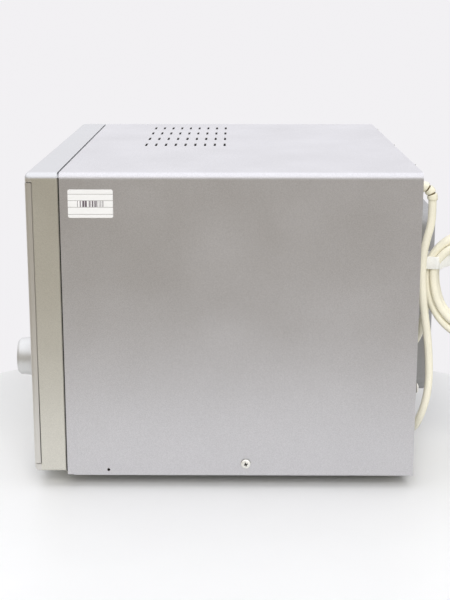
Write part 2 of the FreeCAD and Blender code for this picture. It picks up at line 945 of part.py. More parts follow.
def key(place):
    x, z = place
    y = (y_face - key_proud, y_face + panel_skin + tact_gap + key_flange / 2)
    cap = slab(about(x, key_width), y, about(z, key_height), 1, key_round)
    back = (y_face + panel_skin + tact_gap, y_face + panel_skin + tact_gap + key_flange)
    flange = box(about(x, key_width + 2 * key_lip), back, about(z, key_height + 2 * key_lip))
    stem = bar_y(stem_radius, x, z, (back[0], y_board - tact_thick - key_travel - tact_gap))
    return cap.fuse([flange, stem]).removeSplitter()


def key_switches():
    blocks = []
    for x, z in key_places().values():
        blocks.append(box(about(x, tact_size), (y_board - tact_thick, y_board), about(z, tact_size)))
    return Part.makeCompound(blocks)


def release_button():
    behind = y_face + panel_skin + tact_gap
    cap_y = (y_face - button_proud, behind + key_flange / 2)
    cap = slab(about(panel_x, button_width), cap_y, about(button_middle, button_height), 1, button_round)
    wide = button_width + 2 * key_lip
    high = button_height + 2 * key_lip
    flange = box(about(panel_x, wide), (behind, behind + button_flange), about(button_middle, high))
    push_y = (behind, y_seam + hook_reach - rod_tip)
    push = box(about(rod_x(), button_rod), push_y, about(button_middle, button_rod))
    return cap.fuse([flange, push]).removeSplitter()


def rod_x():
    return panel_left + frame_wall + board_side + button_rod


def door_catch():
    """Catch housing on the divider: a guide for the button's rod, with the interlock switch on it."""
    x0 = wool_x1 + sheet
    y = (y_plate + catch_front, y_plate + catch_front + catch_length)
    x = rod_x()
    tall = button_rod + 2 * catch_wall + 2 * fit_gap
    body = box((x0, x + button_rod / 2 + catch_wall), y, about(button_middle, tall))
    way = about(x, button_rod + 2 * fit_gap)
    way = box(way, (y[0] - cut_past, y[1] - catch_wall), about(button_middle, button_rod + 2 * fit_gap))
    low = button_middle + tall / 2
    switch = box((x0, x0 + switch_thick), (y[0], y[0] + switch_length), (low, low + switch_rise))
    return body.cut(way).fuse(switch).removeSplitter()


# Oven
def duct_limits():
    x = about(vent_x, (vent_rows - 1) * vent_row_pitch + vent_length + 2 * duct_margin)
    y = about(vent_middle_y, vent_columns * vent_column_pitch + 2 * duct_margin)
    return x, y


def cavity_liner():
    """Five flat sheets, welded edge to edge."""
    x = (cavity_x0, cavity_x1)
    wide = (cavity_x0 - sheet, cavity_x1 + sheet)
    y = (y_plate, cavity_y1)
    left = box((wide[0], x[0]), y, (cavity_z0, cavity_z1))
    right = box((x[1], wide[1]), y, (cavity_z0, cavity_z1))
    low = box(wide, y, (cavity_z0 - sheet, cavity_z0))
    high = box(wide, y, (cavity_z1, cavity_z1 + sheet))
    back = box(wide, (cavity_y1, cavity_y1 + sheet), (cavity_z0 - sheet, cavity_z1 + sheet))
    duct_x, duct_y = duct_limits()
    outlets = []
    for column in range(duct_columns):
        for row in range(duct_rows):
            along = (column + 0.5) * (duct_x[1] - duct_x[0]) / duct_columns
            across = (row + 0.5) * (duct_y[1] - duct_y[0]) / duct_rows
            place = V(duct_x[0] + along, duct_y[0] + across, cavity_z1 - sheet)
            outlets.append(rod(duct_hole, place, place + V(0, 0, 3 * sheet)))
    through = (cavity_y1 - sheet, cavity_y1 + 2 * sheet)
    shaft_way = bar_y(shaft_hole / 2, cavity_x, cavity_z, through)
    probe_way = bar_y(probe_radius + tap_gap, probe_x(), probe_z(), through)
    return Part.makeCompound([left, right, low, high.cut(outlets), back.cut([shaft_way, probe_way])])


def probe_x():
    return cavity_x1 - probe_side


def probe_z():
    return cavity_z + probe_rise


def insulation_boards():
    x = (cavity_x0 - sheet, cavity_x1 + sheet)
    y = (y_plate, cavity_y1 + sheet)
    z = (cavity_z0 - sheet, cavity_z1 + sheet)
    duct_x, duct_y = duct_limits()
    hole_x = about(vent_x, duct_x[1] - duct_x[0] + tap_gap)
    hole_y = about(vent_middle_y, duct_y[1] - duct_y[0] + tap_gap)
    hole = box(hole_x, hole_y, (z[1] - cut_past, wool_z1 + cut_past))
    pocket_x = (hook_x()[0] - 2 * hook_room, hook_x()[1] + hook_swing)
    deep = (y_plate - cut_past, y_plate + hook_reach + 2 * hook_swing)
    pockets = [box(pocket_x, deep, about(z_hook, hook_height + 4 * hook_room)) for z_hook in hook_heights()]
    left = box((x[0] - board_wool, x[0]), y, z)
    right = box((x[1], x[1] + board_wool), y, z).cut(pockets)
    wide = (x[0] - board_wool, x[1] + board_wool)
    low = box(wide, y, (z[0] - board_wool, z[0]))
    high = box(wide, y, (z[1], z[1] + board_wool)).cut(hole)
    back = box(wide, (y[1], y[1] + board_wool), (z[0] - board_wool, z[1] + board_wool))
    through = (y[1] - cut_past, y[1] + board_wool + cut_past)
    bore = bar_y(motor_boss + shaft_tip, cavity_x, cavity_z, through)
    lead = bar_y(probe_nut, probe_x(), probe_z(), through)
    return Part.makeCompound([left, right, low, high, back.cut([bore, lead])])


def cavity_supports():
    """Two hat rails that carry the cavity on the base pan."""
    rails = []
    x = (cavity_x0 - hat_side, cavity_x1 + hat_side)
    for y in about(cavity_y, hat_spread):
        hat = box(x, about(y, hat_width), (wool_z0 - hat_sheet, wool_z0))
        for side in (-1, 1):
            edge = y + side * hat_width / 2
            hat = hat.fuse(box(x, sorted((edge, edge - side * hat_sheet)), (z_floor, wool_z0)))
            foot_y = sorted((edge - side * hat_sheet, edge + side * hat_foot))
            hat = hat.fuse(box(x, foot_y, (z_floor, z_floor + hat_sheet)))
        rails.append(hat.removeSplitter())
    return Part.makeCompound(rails)


def exhaust_duct():
    x, y = duct_limits()
    z = (cavity_z1 + sheet, z_top - sheet - fit_gap)
    return ring(x, y, z, sheet, 2, 2 * sheet)


def heater_rows():
    return [cavity_y - tube_forward + step * tube_pitch for step in (-1, 0, 1)]


def heaters(z):
    x = (cavity_x0 + holder_wall, cavity_x1 - holder_wall)
    return Part.makeCompound([rod(tube_radius, V(x[0], y, z), V(x[1], y, z)) for y in heater_rows()])


def upper_z():
    return cavity_z1 - tube_inset


def lower_z():
    return cavity_z0 + tube_inset


def heater_holders():
    blocks = []
    for y in heater_rows():
        for z in (lower_z(), upper_z()):
            for side in (-1, 1):
                wall = cavity_x0 if side < 0 else cavity_x1
                x = sorted((wall, wall - side * holder_thick))
                block = slab(x, about(y, holder_size), about(z, holder_size), 0, holder_wall)
                inner = (wall - side * holder_wall, wall - side * (holder_thick + cut_past))
                blocks.append(block.cut(rod(tube_radius, V(inner[0], y, z), V(inner[1], y, z))))
    return Part.makeCompound(blocks)


def rack_y():
    return (y_plate + rail_front, cavity_y1 - baffle_depth - rail_back)


def rack_z():
    return cavity_z0 + rail_lift


def rack_rails():
    rails = []
    for wall, side in ((cavity_x0, 1), (cavity_x1, -1)):
        shelf = box(sorted((wall, wall + side * rail_width)), rack_y(), (rack_z() - rail_sheet, rack_z()))
        drop = (rack_z() - rail_sheet - rail_drop, rack_z())
        back = box(sorted((wall, wall + side * rail_sheet)), rack_y(), drop)
        rails.append(shelf.fuse(back).removeSplitter())
    return Part.makeCompound(rails)


def wire_rack():
    z = rack_z() + rack_rod
    x = (cavity_x0 + rack_inset, cavity_x1 - rack_inset)
    y = (rack_y()[0] + rack_rod, rack_y()[1] - rack_rod)
    corner = rack_corner
    rods = []
    for side in (0, 1):
        rods.append(rod(rack_rod, V(x[side], y[0] + corner, z), V(x[side], y[1] - corner, z)))
        rods.append(rod(rack_rod, V(x[0] + corner, y[side], z), V(x[1] - corner, y[side], z)))
    quarter = Part.makeTorus(corner, rack_rod, V(0, 0, 0), V(0, 0, 1), -180, 180, 90)
    for spin, place in ((180, (x[0] + corner, y[0] + corner)), (270, (x[1] - corner, y[0] + corner)),
                        (0, (x[1] - corner, y[1] - corner)), (90, (x[0] + corner, y[1] - corner))):
        bend_piece = quarter.copy()
        turned = FreeCAD.Rotation(V(0, 0, 1), spin)
        bend_piece.Placement = FreeCAD.Placement(V(place[0], place[1], z), turned)
        rods.append(bend_piece)
    for count in range(rack_wires):
        along = x[0] + (count + 1) * (x[1] - x[0]) / (rack_wires + 1)
        rods.append(rod(rack_wire, V(along, y[0], z), V(along, y[1], z)))
    return rods[0].fuse(rods[1:])


def fan_baffle():
    y = (cavity_y1 - baffle_depth, cavity_y1)
    x = about(cavity_x, baffle_width)
    z = about(cavity_z, baffle_height)
    outer = slab(x, y, z, 1, baffle_corner)
    inner_x = (x[0] + sheet, x[1] - sheet)
    inner_z = (z[0] + sheet, z[1] - sheet)
    inner = slab(inner_x, (y[0] + sheet, y[1] + cut_past), inner_z, 1, baffle_corner - sheet)
    cuts = [inner]
    for circle in (1, 2, 3):
        for step in range(6 * circle):
            turn = math.radians(60 * step / circle)
            reach = circle * baffle_ring
            x_hole = cavity_x + reach * math.cos(turn)
            z_hole = cavity_z + reach * math.sin(turn)
            cuts.append(bar_y(baffle_hole, x_hole, z_hole, (y[0] - sheet, y[0] + 2 * sheet)))
    for side in (-1, 1):
        for count in range(6):
            rise = (count - 2.5) * baffle_slot_pitch
            place = V(cavity_x + side * (baffle_width / 2 - baffle_ring), y[0] - sheet, cavity_z + rise)
            cuts.append(stadium(place, V(0, 0, baffle_slot), V(baffle_slot_half, 0, 0), V(0, 3 * sheet, 0)))
    return outer.cut(cuts)


def fan_y():
    """The convection fan's depth limits, in the middle of its baffle."""
    middle = cavity_y1 - baffle_depth / 2 + fan_set
    return about(middle, fan_blade + fan_plate)


def convection_fan():
    y = fan_y()
    plate = bar_y(fan_radius, cavity_x, cavity_z, (y[1] - fan_plate, y[1]))
    hub = bar_y(fan_hub, cavity_x, cavity_z, y)
    parts = [hub]
    blade_x = (fan_hub - fan_rim, fan_radius - fan_rim)
    for count in range(fan_blades):
        blade = box(blade_x, (y[0], y[1] - fan_plate / 2), about(0, fan_blade_thick))
        blade.rotate(V(0, 0, 0), V(0, 1, 0), 360 * count / fan_blades)
        blade.translate(V(cavity_x, 0, cavity_z))
        parts.append(blade)
    return plate.fuse(parts).cut(fan_shaft()).removeSplitter()


def motor_y():
    return (y_rear, y_rear + motor_length)


def fan_shaft():
    return bar_y(shaft_radius, cavity_x, cavity_z, (fan_y()[0] - shaft_tip, motor_y()[1] - shaft_end))


def convection_motor():
    y0, y1 = motor_y()
    wide = 2 * motor_radius + 2 * motor_wing
    plate_z = about(cavity_z, motor_wing_height)
    plate = slab(about(cavity_x, wide), (y0, y0 + motor_plate), plate_z, 1, motor_boss)
    can = bar_y(motor_radius, cavity_x, cavity_z, (y0 + motor_plate / 2, y1))
    rim = [edge for edge in can.Edges if abs(edge.BoundBox.YMin - y1) < same_place]
    can = can.makeFillet(motor_round, rim)
    neck = bar_y(motor_boss, cavity_x, cavity_z, (y0 - boss_length, y0 + motor_plate / 2))
    bore_y = (y0 - boss_length - cut_past, y1 - shaft_end + fit_gap)
    bore = bar_y(shaft_radius + shaft_clearance, cavity_x, cavity_z, bore_y)
    return plate.fuse([can, neck]).cut(bore).removeSplitter()


def thermocouple():
    x = probe_x()
    z = probe_z()
    stem = bar_y(probe_radius, x, z, (cavity_y1 - probe_length, cavity_y1 + sheet + probe_nut_length / 2))
    nut = bar_y(probe_nut - fit_gap, x, z, (cavity_y1 + sheet, cavity_y1 + sheet + probe_nut_length))
    return stem.fuse(nut)


# Electronics
def heat_sink_limits():
    x = (wool_x1 + sheet + sink_side, x_side - 2 * sheet - sink_side)
    return x, about(cavity_y, sink_length), (z_floor, z_floor + sink_height)


def heat_sink():
    x, y, z = heat_sink_limits()
    base = box(x, y, (z[1] - sink_base, z[1]))
    fins = []
    for count in range(sink_fins):
        at = x[0] + sink_fin / 2 + count * (x[1] - x[0] - sink_fin) / (sink_fins - 1)
        fins.append(box(about(at, sink_fin), y, (z[0], z[1] - sink_base / 2)))
    return base.fuse(fins).removeSplitter()


def solid_state_relays():
    x, y, z = heat_sink_limits()
    pair = []
    for place in about((y[0] + y[1]) / 2, relay_pitch):
        relay_x = about((x[0] + x[1]) / 2, relay_width)
        relay_z = (z[1], z[1] + relay_height)
        pair.append(slab(relay_x, about(place, relay_depth), relay_z, 2, relay_corner))
    return Part.makeCompound(pair)


def power_board():
    """A board on the divider with its transformer and capacitors."""
    x0 = wool_x1 + sheet
    y = (y_plate + power_front, y_plate + power_front + power_length)
    z = (cavity_z + power_gap, cavity_z1 - power_gap)
    face = x0 + power_stand + board_thick
    board = box((x0 + power_stand, face), y, z)
    corners = corners_of(y, z, boss_inset)
    posts = [rod(boss_radius, V(x0, a, b), V(x0 + power_stand, a, b)) for a, b in corners]
    middle = (z[0] + z[1]) / 2
    core_y = y[0] + 2 * boss_inset
    core = box((face, face + core_rise), (core_y, core_y + core_length), about(middle, core_height))
    cans = []
    for count in (1, 2, 3):
        can_y = core_y + core_length + count * (2 * can_radius + can_gap) - can_radius
        cans.append(rod(can_radius, V(face, can_y, middle), V(face + can_height, can_y, middle)))
    return board.fuse(posts + [core] + cans)


def cooling_fan_frame():
    y = (y_inside - cool_depth, y_inside)
    body = slab(about(cool_x, cool_size), y, about(cool_z, cool_size), 1, cool_corner)
    body = body.cut(bar_y(cool_bore, cool_x, cool_z, (y[0] - cut_past, y[1] + cut_past)))
    hub = bar_y(cool_hub, cool_x, cool_z, (y[1] - cool_arm, y[1]))
    post = bar_y(2 * cool_shaft, cool_x, cool_z, (y[1] - cool_post, y[1]))
    arms = []
    for turn in range(4):
        arm = box((0, cool_bore + cut_past), (y[1] - cool_arm_depth, y[1]), about(0, cool_arm))
        arm.rotate(V(0, 0, 0), V(0, 1, 0), 45 + 90 * turn)
        arm.translate(V(cool_x, 0, cool_z))
        arms.append(arm)
    bore_y = (y[1] - cool_post - cut_past, y[1] - cool_shaft)
    bore = bar_y(cool_shaft + pin_clearance, cool_x, cool_z, bore_y)
    return body.fuse([hub, post] + arms).cut(bore).removeSplitter()


def cooling_fan_rotor():
    y = (y_inside - cool_depth + cool_play, y_inside - cool_arm - cool_play)
    inside_y = (y[0] + cool_wall, y[1] + cut_past)
    cup = bar_y(cool_hub, cool_x, cool_z, y).cut(bar_y(cool_hub - cool_wall, cool_x, cool_z, inside_y))
    pin = bar_y(cool_shaft, cool_x, cool_z, (y[0] + cool_wall / 2, y_inside - cool_shaft - fit_gap))
    blades = []
    blade_x = (cool_hub - cool_wall / 2, cool_bore - cool_play)
    for count in range(cool_blades):
        blade = box(blade_x, about(0, cool_blade_thick), about(0, cool_blade))
        blade.rotate(V(0, 0, 0), V(1, 0, 0), cool_pitch)
        blade.translate(V(0, (y[0] + y[1]) / 2, 0))
        blade.rotate(V(0, 0, 0), V(0, 1, 0), 360 * count / cool_blades)
        blade.translate(V(cool_x, 0, cool_z))
        blades.append(blade)
    keep = bar_y(cool_bore - cool_play, cool_x, cool_z, (y[0] - cool_wall, y[1] + cool_wall))
    hollow = bar_y(cool_hub - cool_wall, cool_x, cool_z, (y[0] + cool_wall, y[1] + cool_wall))
    blades = [blade.common(keep).cut(hollow) for blade in blades]
    return cup.fuse([pin] + blades).removeSplitter()


# Cord
def strain_relief():
    """A right-angle sleeve: out of the rear panel, then down, with collars round the bend."""
    y_turn = y_rear + relief_run
    pivot = V(relief_x, y_turn, relief_z - relief_turn)
    leg = bar_y(relief_radius, relief_x, relief_z, (y_inside - relief_nut_thick, y_turn))
    drop_top = V(relief_x, y_turn + relief_turn, relief_z - relief_turn)
    drop = rod(relief_radius, drop_top, drop_top - V(0, 0, relief_drop))
    nut = bar_y(relief_nut, relief_x, relief_z, (y_inside - relief_nut_thick, y_inside))
    sleeve = leg.fuse(nut)
    reached = 0
    for count in range(relief_ribs):
        rib_start = rib_first + count * rib_spacing
        sleeve = sleeve.fuse(along_bend(pivot, relief_radius, (reached, rib_start)))
        reached = rib_start + rib_angle
        sleeve = sleeve.fuse(along_bend(pivot, relief_rib, (rib_start, reached)))
    sleeve = sleeve.fuse(along_bend(pivot, relief_radius, (reached, 90)))
    return sleeve.fuse(drop)


def along_bend(pivot, radius, angles):
    """The piece of the sleeve's bend between two angles, counted from its top."""
    middle = pivot + V(0, 0, relief_turn)
    section = Part.Face(Part.Wire([Part.Circle(middle, V(0, 1, 0), radius).toShape()]))
    piece = section.revolve(pivot, V(1, 0, 0), angles[0] - angles[1])
    piece.rotate(pivot, V(1, 0, 0), -angles[0])
    return piece


def relief_end():
    """The middle of the strain relief's lower end."""
    return V(relief_x, y_rear + relief_run + relief_turn, relief_z - relief_turn - relief_drop)


def hank_axes():
    turned = math.radians(hank_turned)
    return V(math.sin(turned), math.cos(turned), 0), V(math.cos(turned), -math.sin(turned), 0)


def hank_middle():
    return V(relief_x, y_back + hank_back, hank_z)


def hank_point(turns):
    """Where the hank's cord is after so many turns: it spirals in, climbs half a turn, and spirals out."""
    out, side = hank_axes()
    if turns < hank_turns:
        radius = hank_radius - hank_step * turns
        layer = -0.5
    elif turns < hank_turns + 0.5:
        radius = hank_radius - hank_step * hank_turns
        layer = -0.5 + (turns - hank_turns) / 0.5
    else:
        radius = hank_radius - hank_step * (2 * hank_turns + 0.5 - turns)
        layer = 0.5
    turn = math.pi - 2 * math.pi * turns
    place = hank_middle() + out * (radius * math.cos(turn)) + side * (layer * hank_layer)
    return place + V(0, 0, radius * math.sin(turn))


def hank_way(turns):
    """The direction of the hank's cord after so many turns."""
    step = 0.01
    return (hank_point(turns + step) - hank_point(turns - step)).normalize()


def hank_length():
    return 2 * hank_turns + 0.5


def bent(start, corner, end):
    """The arc that leaves start for corner and reaches end from corner."""
    weight = (end - start).Length / (2 * (corner - start).Length)
    middle = (start + corner * (2 * weight) + end) * (1 / (2 + 2 * weight))
    return Part.Arc(start, middle, end).toShape()


def biarc(start, way_out, end, way_in):
    """Two arcs that leave start along way_out and reach end along way_in."""
    span = end - start
    both = way_out + way_in
    spread = 2 * (1 - way_out.dot(way_in))
    reach = (-span.dot(both) + math.sqrt(span.dot(both) ** 2 + spread * span.dot(span))) / spread
    first = start + way_out * reach
    last = end - way_in * reach
    meet = (first + last) * 0.5
    return [bent(start, first, meet), bent(meet, last, end)]


def hank_wire():
    steps = [count * 0.25 for count in range(int(round(hank_length() * 4)) + 1)]
    first = hank_point(steps[0])
    last = hank_point(steps[-1])
    down = V(0, 0, -1)
    up = V(0, 0, 1)
    ways = [up] + [hank_way(step) for step in steps[1:-1]] + [down]
    edges = [Part.LineSegment(first - up * 2 * cord_radius, first).toShape()]
    for count in range(len(steps) - 1):
        edges += biarc(hank_point(steps[count]), ways[count], hank_point(steps[count + 1]), ways[count + 1])
    edges.append(Part.LineSegment(last, last + down * 2 * cord_radius).toShape())
    return Part.Wire(edges)


def swept(wire):
    """A cord of the cord's radius along a wire."""
    start = wire.Edges[0]
    way = start.tangentAt(start.FirstParameter)
    section = Part.Wire([Part.Circle(start.valueAt(start.FirstParameter), way, cord_radius).toShape()])
    shell = Part.BRepOffsetAPI.MakePipeShell(wire)
    shell.add(section)
    shell.build()
    shell.makeSolid()
    return shell.shape()


def own_gap(wire):
    """The least gap between stretches of one cord that lie more than a third of a turn apart."""
    points = [point for edge in wire.Edges for point in edge.discretize(12)[:-1]]
    run = [0.0]
    for count in range(1, len(points)):
        run.append(run[-1] + (points[count] - points[count - 1]).Length)
    least = 1e9
    for one in range(len(points)):
        for two in range(one + 1, len(points)):
            if run[two] - run[one] > hank_radius:
                least = min(least, (points[two] - points[one]).Length)
    return least - 2 * cord_radius


def hank_start():
    return hank_point(0) - V(0, 0, 2 * cord_radius)


def hank_end():
    return hank_point(hank_length()) - V(0, 0, 2 * cord_radius)


def drop_route():
    """The cord from the strain relief, down behind the case, round a low loop and up to the hank."""
    start = relief_end()
    finish = hank_start()
    right = relief_x
    wall = y_back
    return [
        start,
        V(right, start.y, 236),
        V(right + 0.8, wall + 8.6, 217),
        V(right + 1.6, wall + 5.4, 194),
        V(right + 1.9, wall + 5.9, 170),
        V(right + 1.7, wall + 9.6, 146),
        V(right + 1.3, wall + 14.4, 119),
        V(right + 0.6, wall + 16.8, 94),
        V(right + 0.2, wall + 16.4, 72),
        V(right - 2.0, wall + 14.8, 52),
        V(right - 12.5, wall + 12.2, 34),
        V(right - 30.5, wall + 9.4, 23.5),
        V(right - 51.5, wall + 7.2, 23.5),
        V(right - 69.5, wall + 6.2, 34),
        V(right - 80.0, wall + 6.0, 52),
        V(right - 80.5, wall + 6.0, 72),
        V(right - 73.0, wall + 6.4, 91),
        V(right - 57.0, wall + 7.4, 105),
        V(right - 38.5, wall + 8.9, 114.5),
        V(right - 25.0, wall + 10.1, 129),
        V(finish.x, finish.y, 147.5),
        finish,
    ]


def rounded_route(points):
    """Straight runs joined by tangent arcs as large as the runs allow."""
    edges = []
    last = points[0]
    for before, here, after in zip(points, points[1:], points[2:]):
        back = (before - here).normalize()
        ahead = (after - here).normalize()
        turn = math.pi - back.getAngle(ahead)
        cut = 0.45 * min((before - here).Length, (after - here).Length)
        print("turn", round(math.degrees(turn)), "radius", round(cut / math.tan(turn / 2)))
        edges.append(Part.LineSegment(last, here + back * cut).toShape())
        edges.append(bent(here + back * cut, here, here + ahead * cut))
        last = here + ahead * cut
    edges.append(Part.LineSegment(last, points[-1]).toShape())
    return Part.Wire(edges)


def compare_volume(name, cord, wire):
    """Print a cord's volume beside its section times its length."""
    section = math.pi * cord_radius ** 2
    print(name, "volume", round(cord.Volume), "section times length", round(section * wire.Length))


def power_cord_drop():
    wire = rounded_route(drop_route())
    cord = swept(wire)
    compare_volume("drop", cord, wire)
    return cord


def power_cord_hank():
    wire = hank_wire()
    cord = swept(wire)
    compare_volume("hank", cord, wire)
    radii = [edge.Curve.Radius for edge in wire.Edges if hasattr(edge.Curve, "Radius")]
    print("hank least gap", round(own_gap(wire), 2), "tightest", round(min(radii), 1))
    return cord


def power_cord_tail():
    return rod(cord_radius, hank_end(), hank_end() - V(0, 0, tail_length))


def cord_tie():
    """A band round the strands of the hank at its upper left."""
    out, side = hank_axes()
    turn = math.radians(tie_angle)
    radial = out * math.cos(turn) + V(0, 0, 1) * math.sin(turn)
    along = radial.cross(side)
    outer_reach = hank_radius + cord_radius - hank_step * (180 - tie_angle) / 360 + tie_play
    inner_reach = hank_radius - hank_step * hank_turns - cord_radius - tie_slack
    wide = hank_layer + 2 * cord_radius + 2 * tie_play
    high = outer_reach - inner_reach
    block = Part.makeBox(high + 2 * tie_wall, wide + 2 * tie_wall, tie_height)
    block = block.makeFillet(cord_radius, edges_along(block, 2))
    hole = Part.makeBox(high, wide, tie_height + 2 * cut_past, V(tie_wall, tie_wall, -cut_past))
    hole = hole.makeFillet(cord_radius - tie_wall, edges_along(hole, 2))
    band = block.cut(hole)
    band.translate(V(-(high + 2 * tie_wall) / 2, -(wide + 2 * tie_wall) / 2, -tie_height / 2))
    place = hank_middle() + radial * ((outer_reach + inner_reach) / 2)
    on_hank = FreeCAD.Placement(place, FreeCAD.Rotation(radial, side, along, "ZXY"))
    band.Placement = on_hank.multiply(band.Placement)
    return band


def plug_body():
    top = hank_end() - V(0, 0, tail_length)
    low = top - V(0, 0, plug_taper)
    neck = Part.makeCone(cord_radius + plug_collar, plug_neck, plug_taper, top, V(0, 0, -1))
    body = Part.makeCylinder(plug_radius, plug_length, low - V(0, 0, plug_length))
    rim = [edge for edge in body.Edges if abs(edge.BoundBox.ZMin - low.z) < same_place]
    body = body.makeFillet(plug_cap, rim)
    return body.fuse(neck).removeSplitter()


def plug_pins():
    base = hank_end() - V(0, 0, tail_length + plug_taper + plug_length)
    pins = []
    for side in (-1, 1):
        start = base + V(side * prong_pitch / 2, 0, 0)
        pin = rod(prong_radius, start, start - V(0, 0, prong_length))
        tip = [edge for edge in pin.Edges if edge.BoundBox.ZMax < start.z - prong_length + same_place]
        pins.append(pin.makeFillet(prong_radius / 2, tip))
    return Part.makeCompound(pins)


pieces = {
    "wrapper": wrapper(),
    "base_pan": base_pan(),
    "rear_panel": rear_panel(),
    "rear_cover": rear_cover(),
    "front_frame": front_frame(),
    "front_plate": front_plate(),
    "divider_wall": divider_wall(),
    "feet": feet(),
    "side_screws": side_screws(),
    "rear_screws": rear_screws(),
    "side_label": side_label(),
    "door_frame": door_frame(),
    "door_window": door_window(),
    "door_inner_panel": door_inner_panel(),
    "door_inner_glass": door_inner_glass(),
    "door_gasket": door_gasket(),
    "latch_hooks": latch_hooks(),
    "hinge_pins": hinge_pins(),
    "control_panel": control_panel(),
    "display_lens": display_lens(),
    "display_module": display_module(),
    "control_board": control_board(),
    "encoder": encoder(),
    "knob": knob(),
    "knob_shaft": shaft_bar(),
    "knob_pointer": knob_pointer(),
    "key_switches": key_switches(),
    "release_button": release_button(),
    "door_catch": door_catch(),
    "cavity_liner": cavity_liner(),
    "insulation_boards": insulation_boards(),
    "cavity_supports": cavity_supports(),
    "exhaust_duct": exhaust_duct(),
    "heaters_upper": heaters(upper_z()),
    "heaters_lower": heaters(lower_z()),
    "heater_holders": heater_holders(),
    "rack_rails": rack_rails(),
    "wire_rack": wire_rack(),
    "fan_baffle": fan_baffle(),
    "convection_fan": convection_fan(),
    "fan_shaft": fan_shaft(),
    "convection_motor": convection_motor(),
    "thermocouple": thermocouple(),
    "power_board": power_board(),
    "heat_sink": heat_sink(),
    "solid_state_relays": solid_state_relays(),
    "cooling_fan_frame": cooling_fan_frame(),
    "cooling_fan_rotor": cooling_fan_rotor(),
    "strain_relief": strain_relief(),
    "power_cord_drop": power_cord_drop(),
    "power_cord_hank": power_cord_hank(),
    "power_cord_tail": power_cord_tail(),
    "cord_tie": cord_tie(),
    "plug_body": plug_body(),
    "plug_pins": plug_pins(),
}
for name, place in key_places().items():
    pieces[name] = key(place)
for name, shape in pieces.items():
    save(name, shape)
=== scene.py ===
# %% [markdown]
# A bench-top reflow oven, seen from its right side on a round white table.
# The oven's solids arrive as a fixed frame of named nodes, in metres, with the front towards -Y and Z up.
# They could be modelled again here, but then every gap would have to be fitted by hand.
# So the nodes stay where they are, and this lesson adds the camera, the finishes and the finer pieces.

# %% Load the frame
import json
import math

import bmesh
import bpy
from mathutils import Matrix, Vector


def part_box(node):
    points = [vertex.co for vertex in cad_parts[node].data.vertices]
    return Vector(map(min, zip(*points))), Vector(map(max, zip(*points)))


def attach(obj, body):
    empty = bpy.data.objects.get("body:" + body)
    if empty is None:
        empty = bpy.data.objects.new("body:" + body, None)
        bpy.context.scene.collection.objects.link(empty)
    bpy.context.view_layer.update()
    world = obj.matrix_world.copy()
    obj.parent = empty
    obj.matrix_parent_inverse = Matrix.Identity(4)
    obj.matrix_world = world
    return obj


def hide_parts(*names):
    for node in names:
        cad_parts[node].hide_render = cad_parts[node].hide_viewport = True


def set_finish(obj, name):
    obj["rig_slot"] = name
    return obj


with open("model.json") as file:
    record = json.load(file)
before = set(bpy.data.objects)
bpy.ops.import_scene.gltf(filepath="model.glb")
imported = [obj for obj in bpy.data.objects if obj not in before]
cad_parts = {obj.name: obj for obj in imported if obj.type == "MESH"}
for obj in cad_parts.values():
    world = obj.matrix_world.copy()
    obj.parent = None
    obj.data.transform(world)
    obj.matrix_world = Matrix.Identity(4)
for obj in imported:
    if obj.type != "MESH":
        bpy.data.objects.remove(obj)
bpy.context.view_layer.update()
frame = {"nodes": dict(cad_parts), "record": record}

nodes = frame["nodes"]

# %% [markdown]
# Operators work on whatever is selected, and loading leaves every node selected.
# Each piece therefore starts by clearing the selection.
# In edit mode, faces are picked in code by where they are and which way they face.

# %% Helpers for selecting
quarter = math.radians(90)
facing = 0.9


def start_piece():
    """Leave edit mode and select nothing."""
    if bpy.context.object and bpy.context.object.mode != "OBJECT":
        bpy.ops.object.mode_set(mode="OBJECT")
    bpy.ops.object.select_all(action="DESELECT")


def select_faces(piece, test):
    """Enter edit mode and select the faces whose centre and normal pass a test."""
    bpy.ops.object.mode_set(mode="EDIT")
    bpy.ops.mesh.select_mode(type="FACE")
    bpy.ops.mesh.select_all(action="DESELECT")
    shape = bmesh.from_edit_mesh(piece.data)
    for face in shape.faces:
        face.select_set(test(face.calc_center_median(), face.normal))
    bmesh.update_edit_mesh(piece.data)


def edit_all():
    """Enter edit mode on the active piece, with its whole mesh selected."""
    bpy.ops.object.mode_set(mode="EDIT")
    bpy.ops.mesh.select_all(action="SELECT")


def extrude(step):
    """Extrude what is selected and move it by a step."""
    bpy.ops.mesh.extrude_region_move(TRANSFORM_OT_translate={"value": step})


def resize(share):
    """Resize what is selected about its middle."""
    bpy.ops.transform.resize(value=[share] * 3)


def leave_outwards():
    """Turn the whole mesh's normals outwards and leave edit mode."""
    bpy.ops.mesh.select_all(action="SELECT")
    bpy.ops.mesh.normals_make_consistent(inside=False)
    start_piece()


def new_object(name, data):
    """A new object in the scene, with its data."""
    made = bpy.data.objects.new(name, data)
    bpy.context.scene.collection.objects.link(made)
    return made


def copy_piece(model):
    """A copy of a piece, with a mesh of its own."""
    return new_object(model.name, model.data.copy())


def join_pieces(pieces, name):
    """Join meshes into the first one and name it."""
    start_piece()
    for piece in pieces:
        piece.select_set(True)
    bpy.context.view_layer.objects.active = pieces[0]
    bpy.ops.object.join()
    pieces[0].name = name
    return pieces[0]


def pick(piece):
    """Select one piece alone and make it active."""
    start_piece()
    piece.select_set(True)
    bpy.context.view_layer.objects.active = piece


def settle(piece, place=None):
    """Move a piece, if a place is given, and put its place into its mesh."""
    if place is not None:
        piece.matrix_world = place
    pick(piece)
    bpy.ops.object.transform_apply(location=True, rotation=True, scale=True)


def add_piece(operator, **values):
    """Add a primitive by itself and put its place into its mesh."""
    start_piece()
    operator(**values)
    settle(bpy.context.object)
    return bpy.context.object


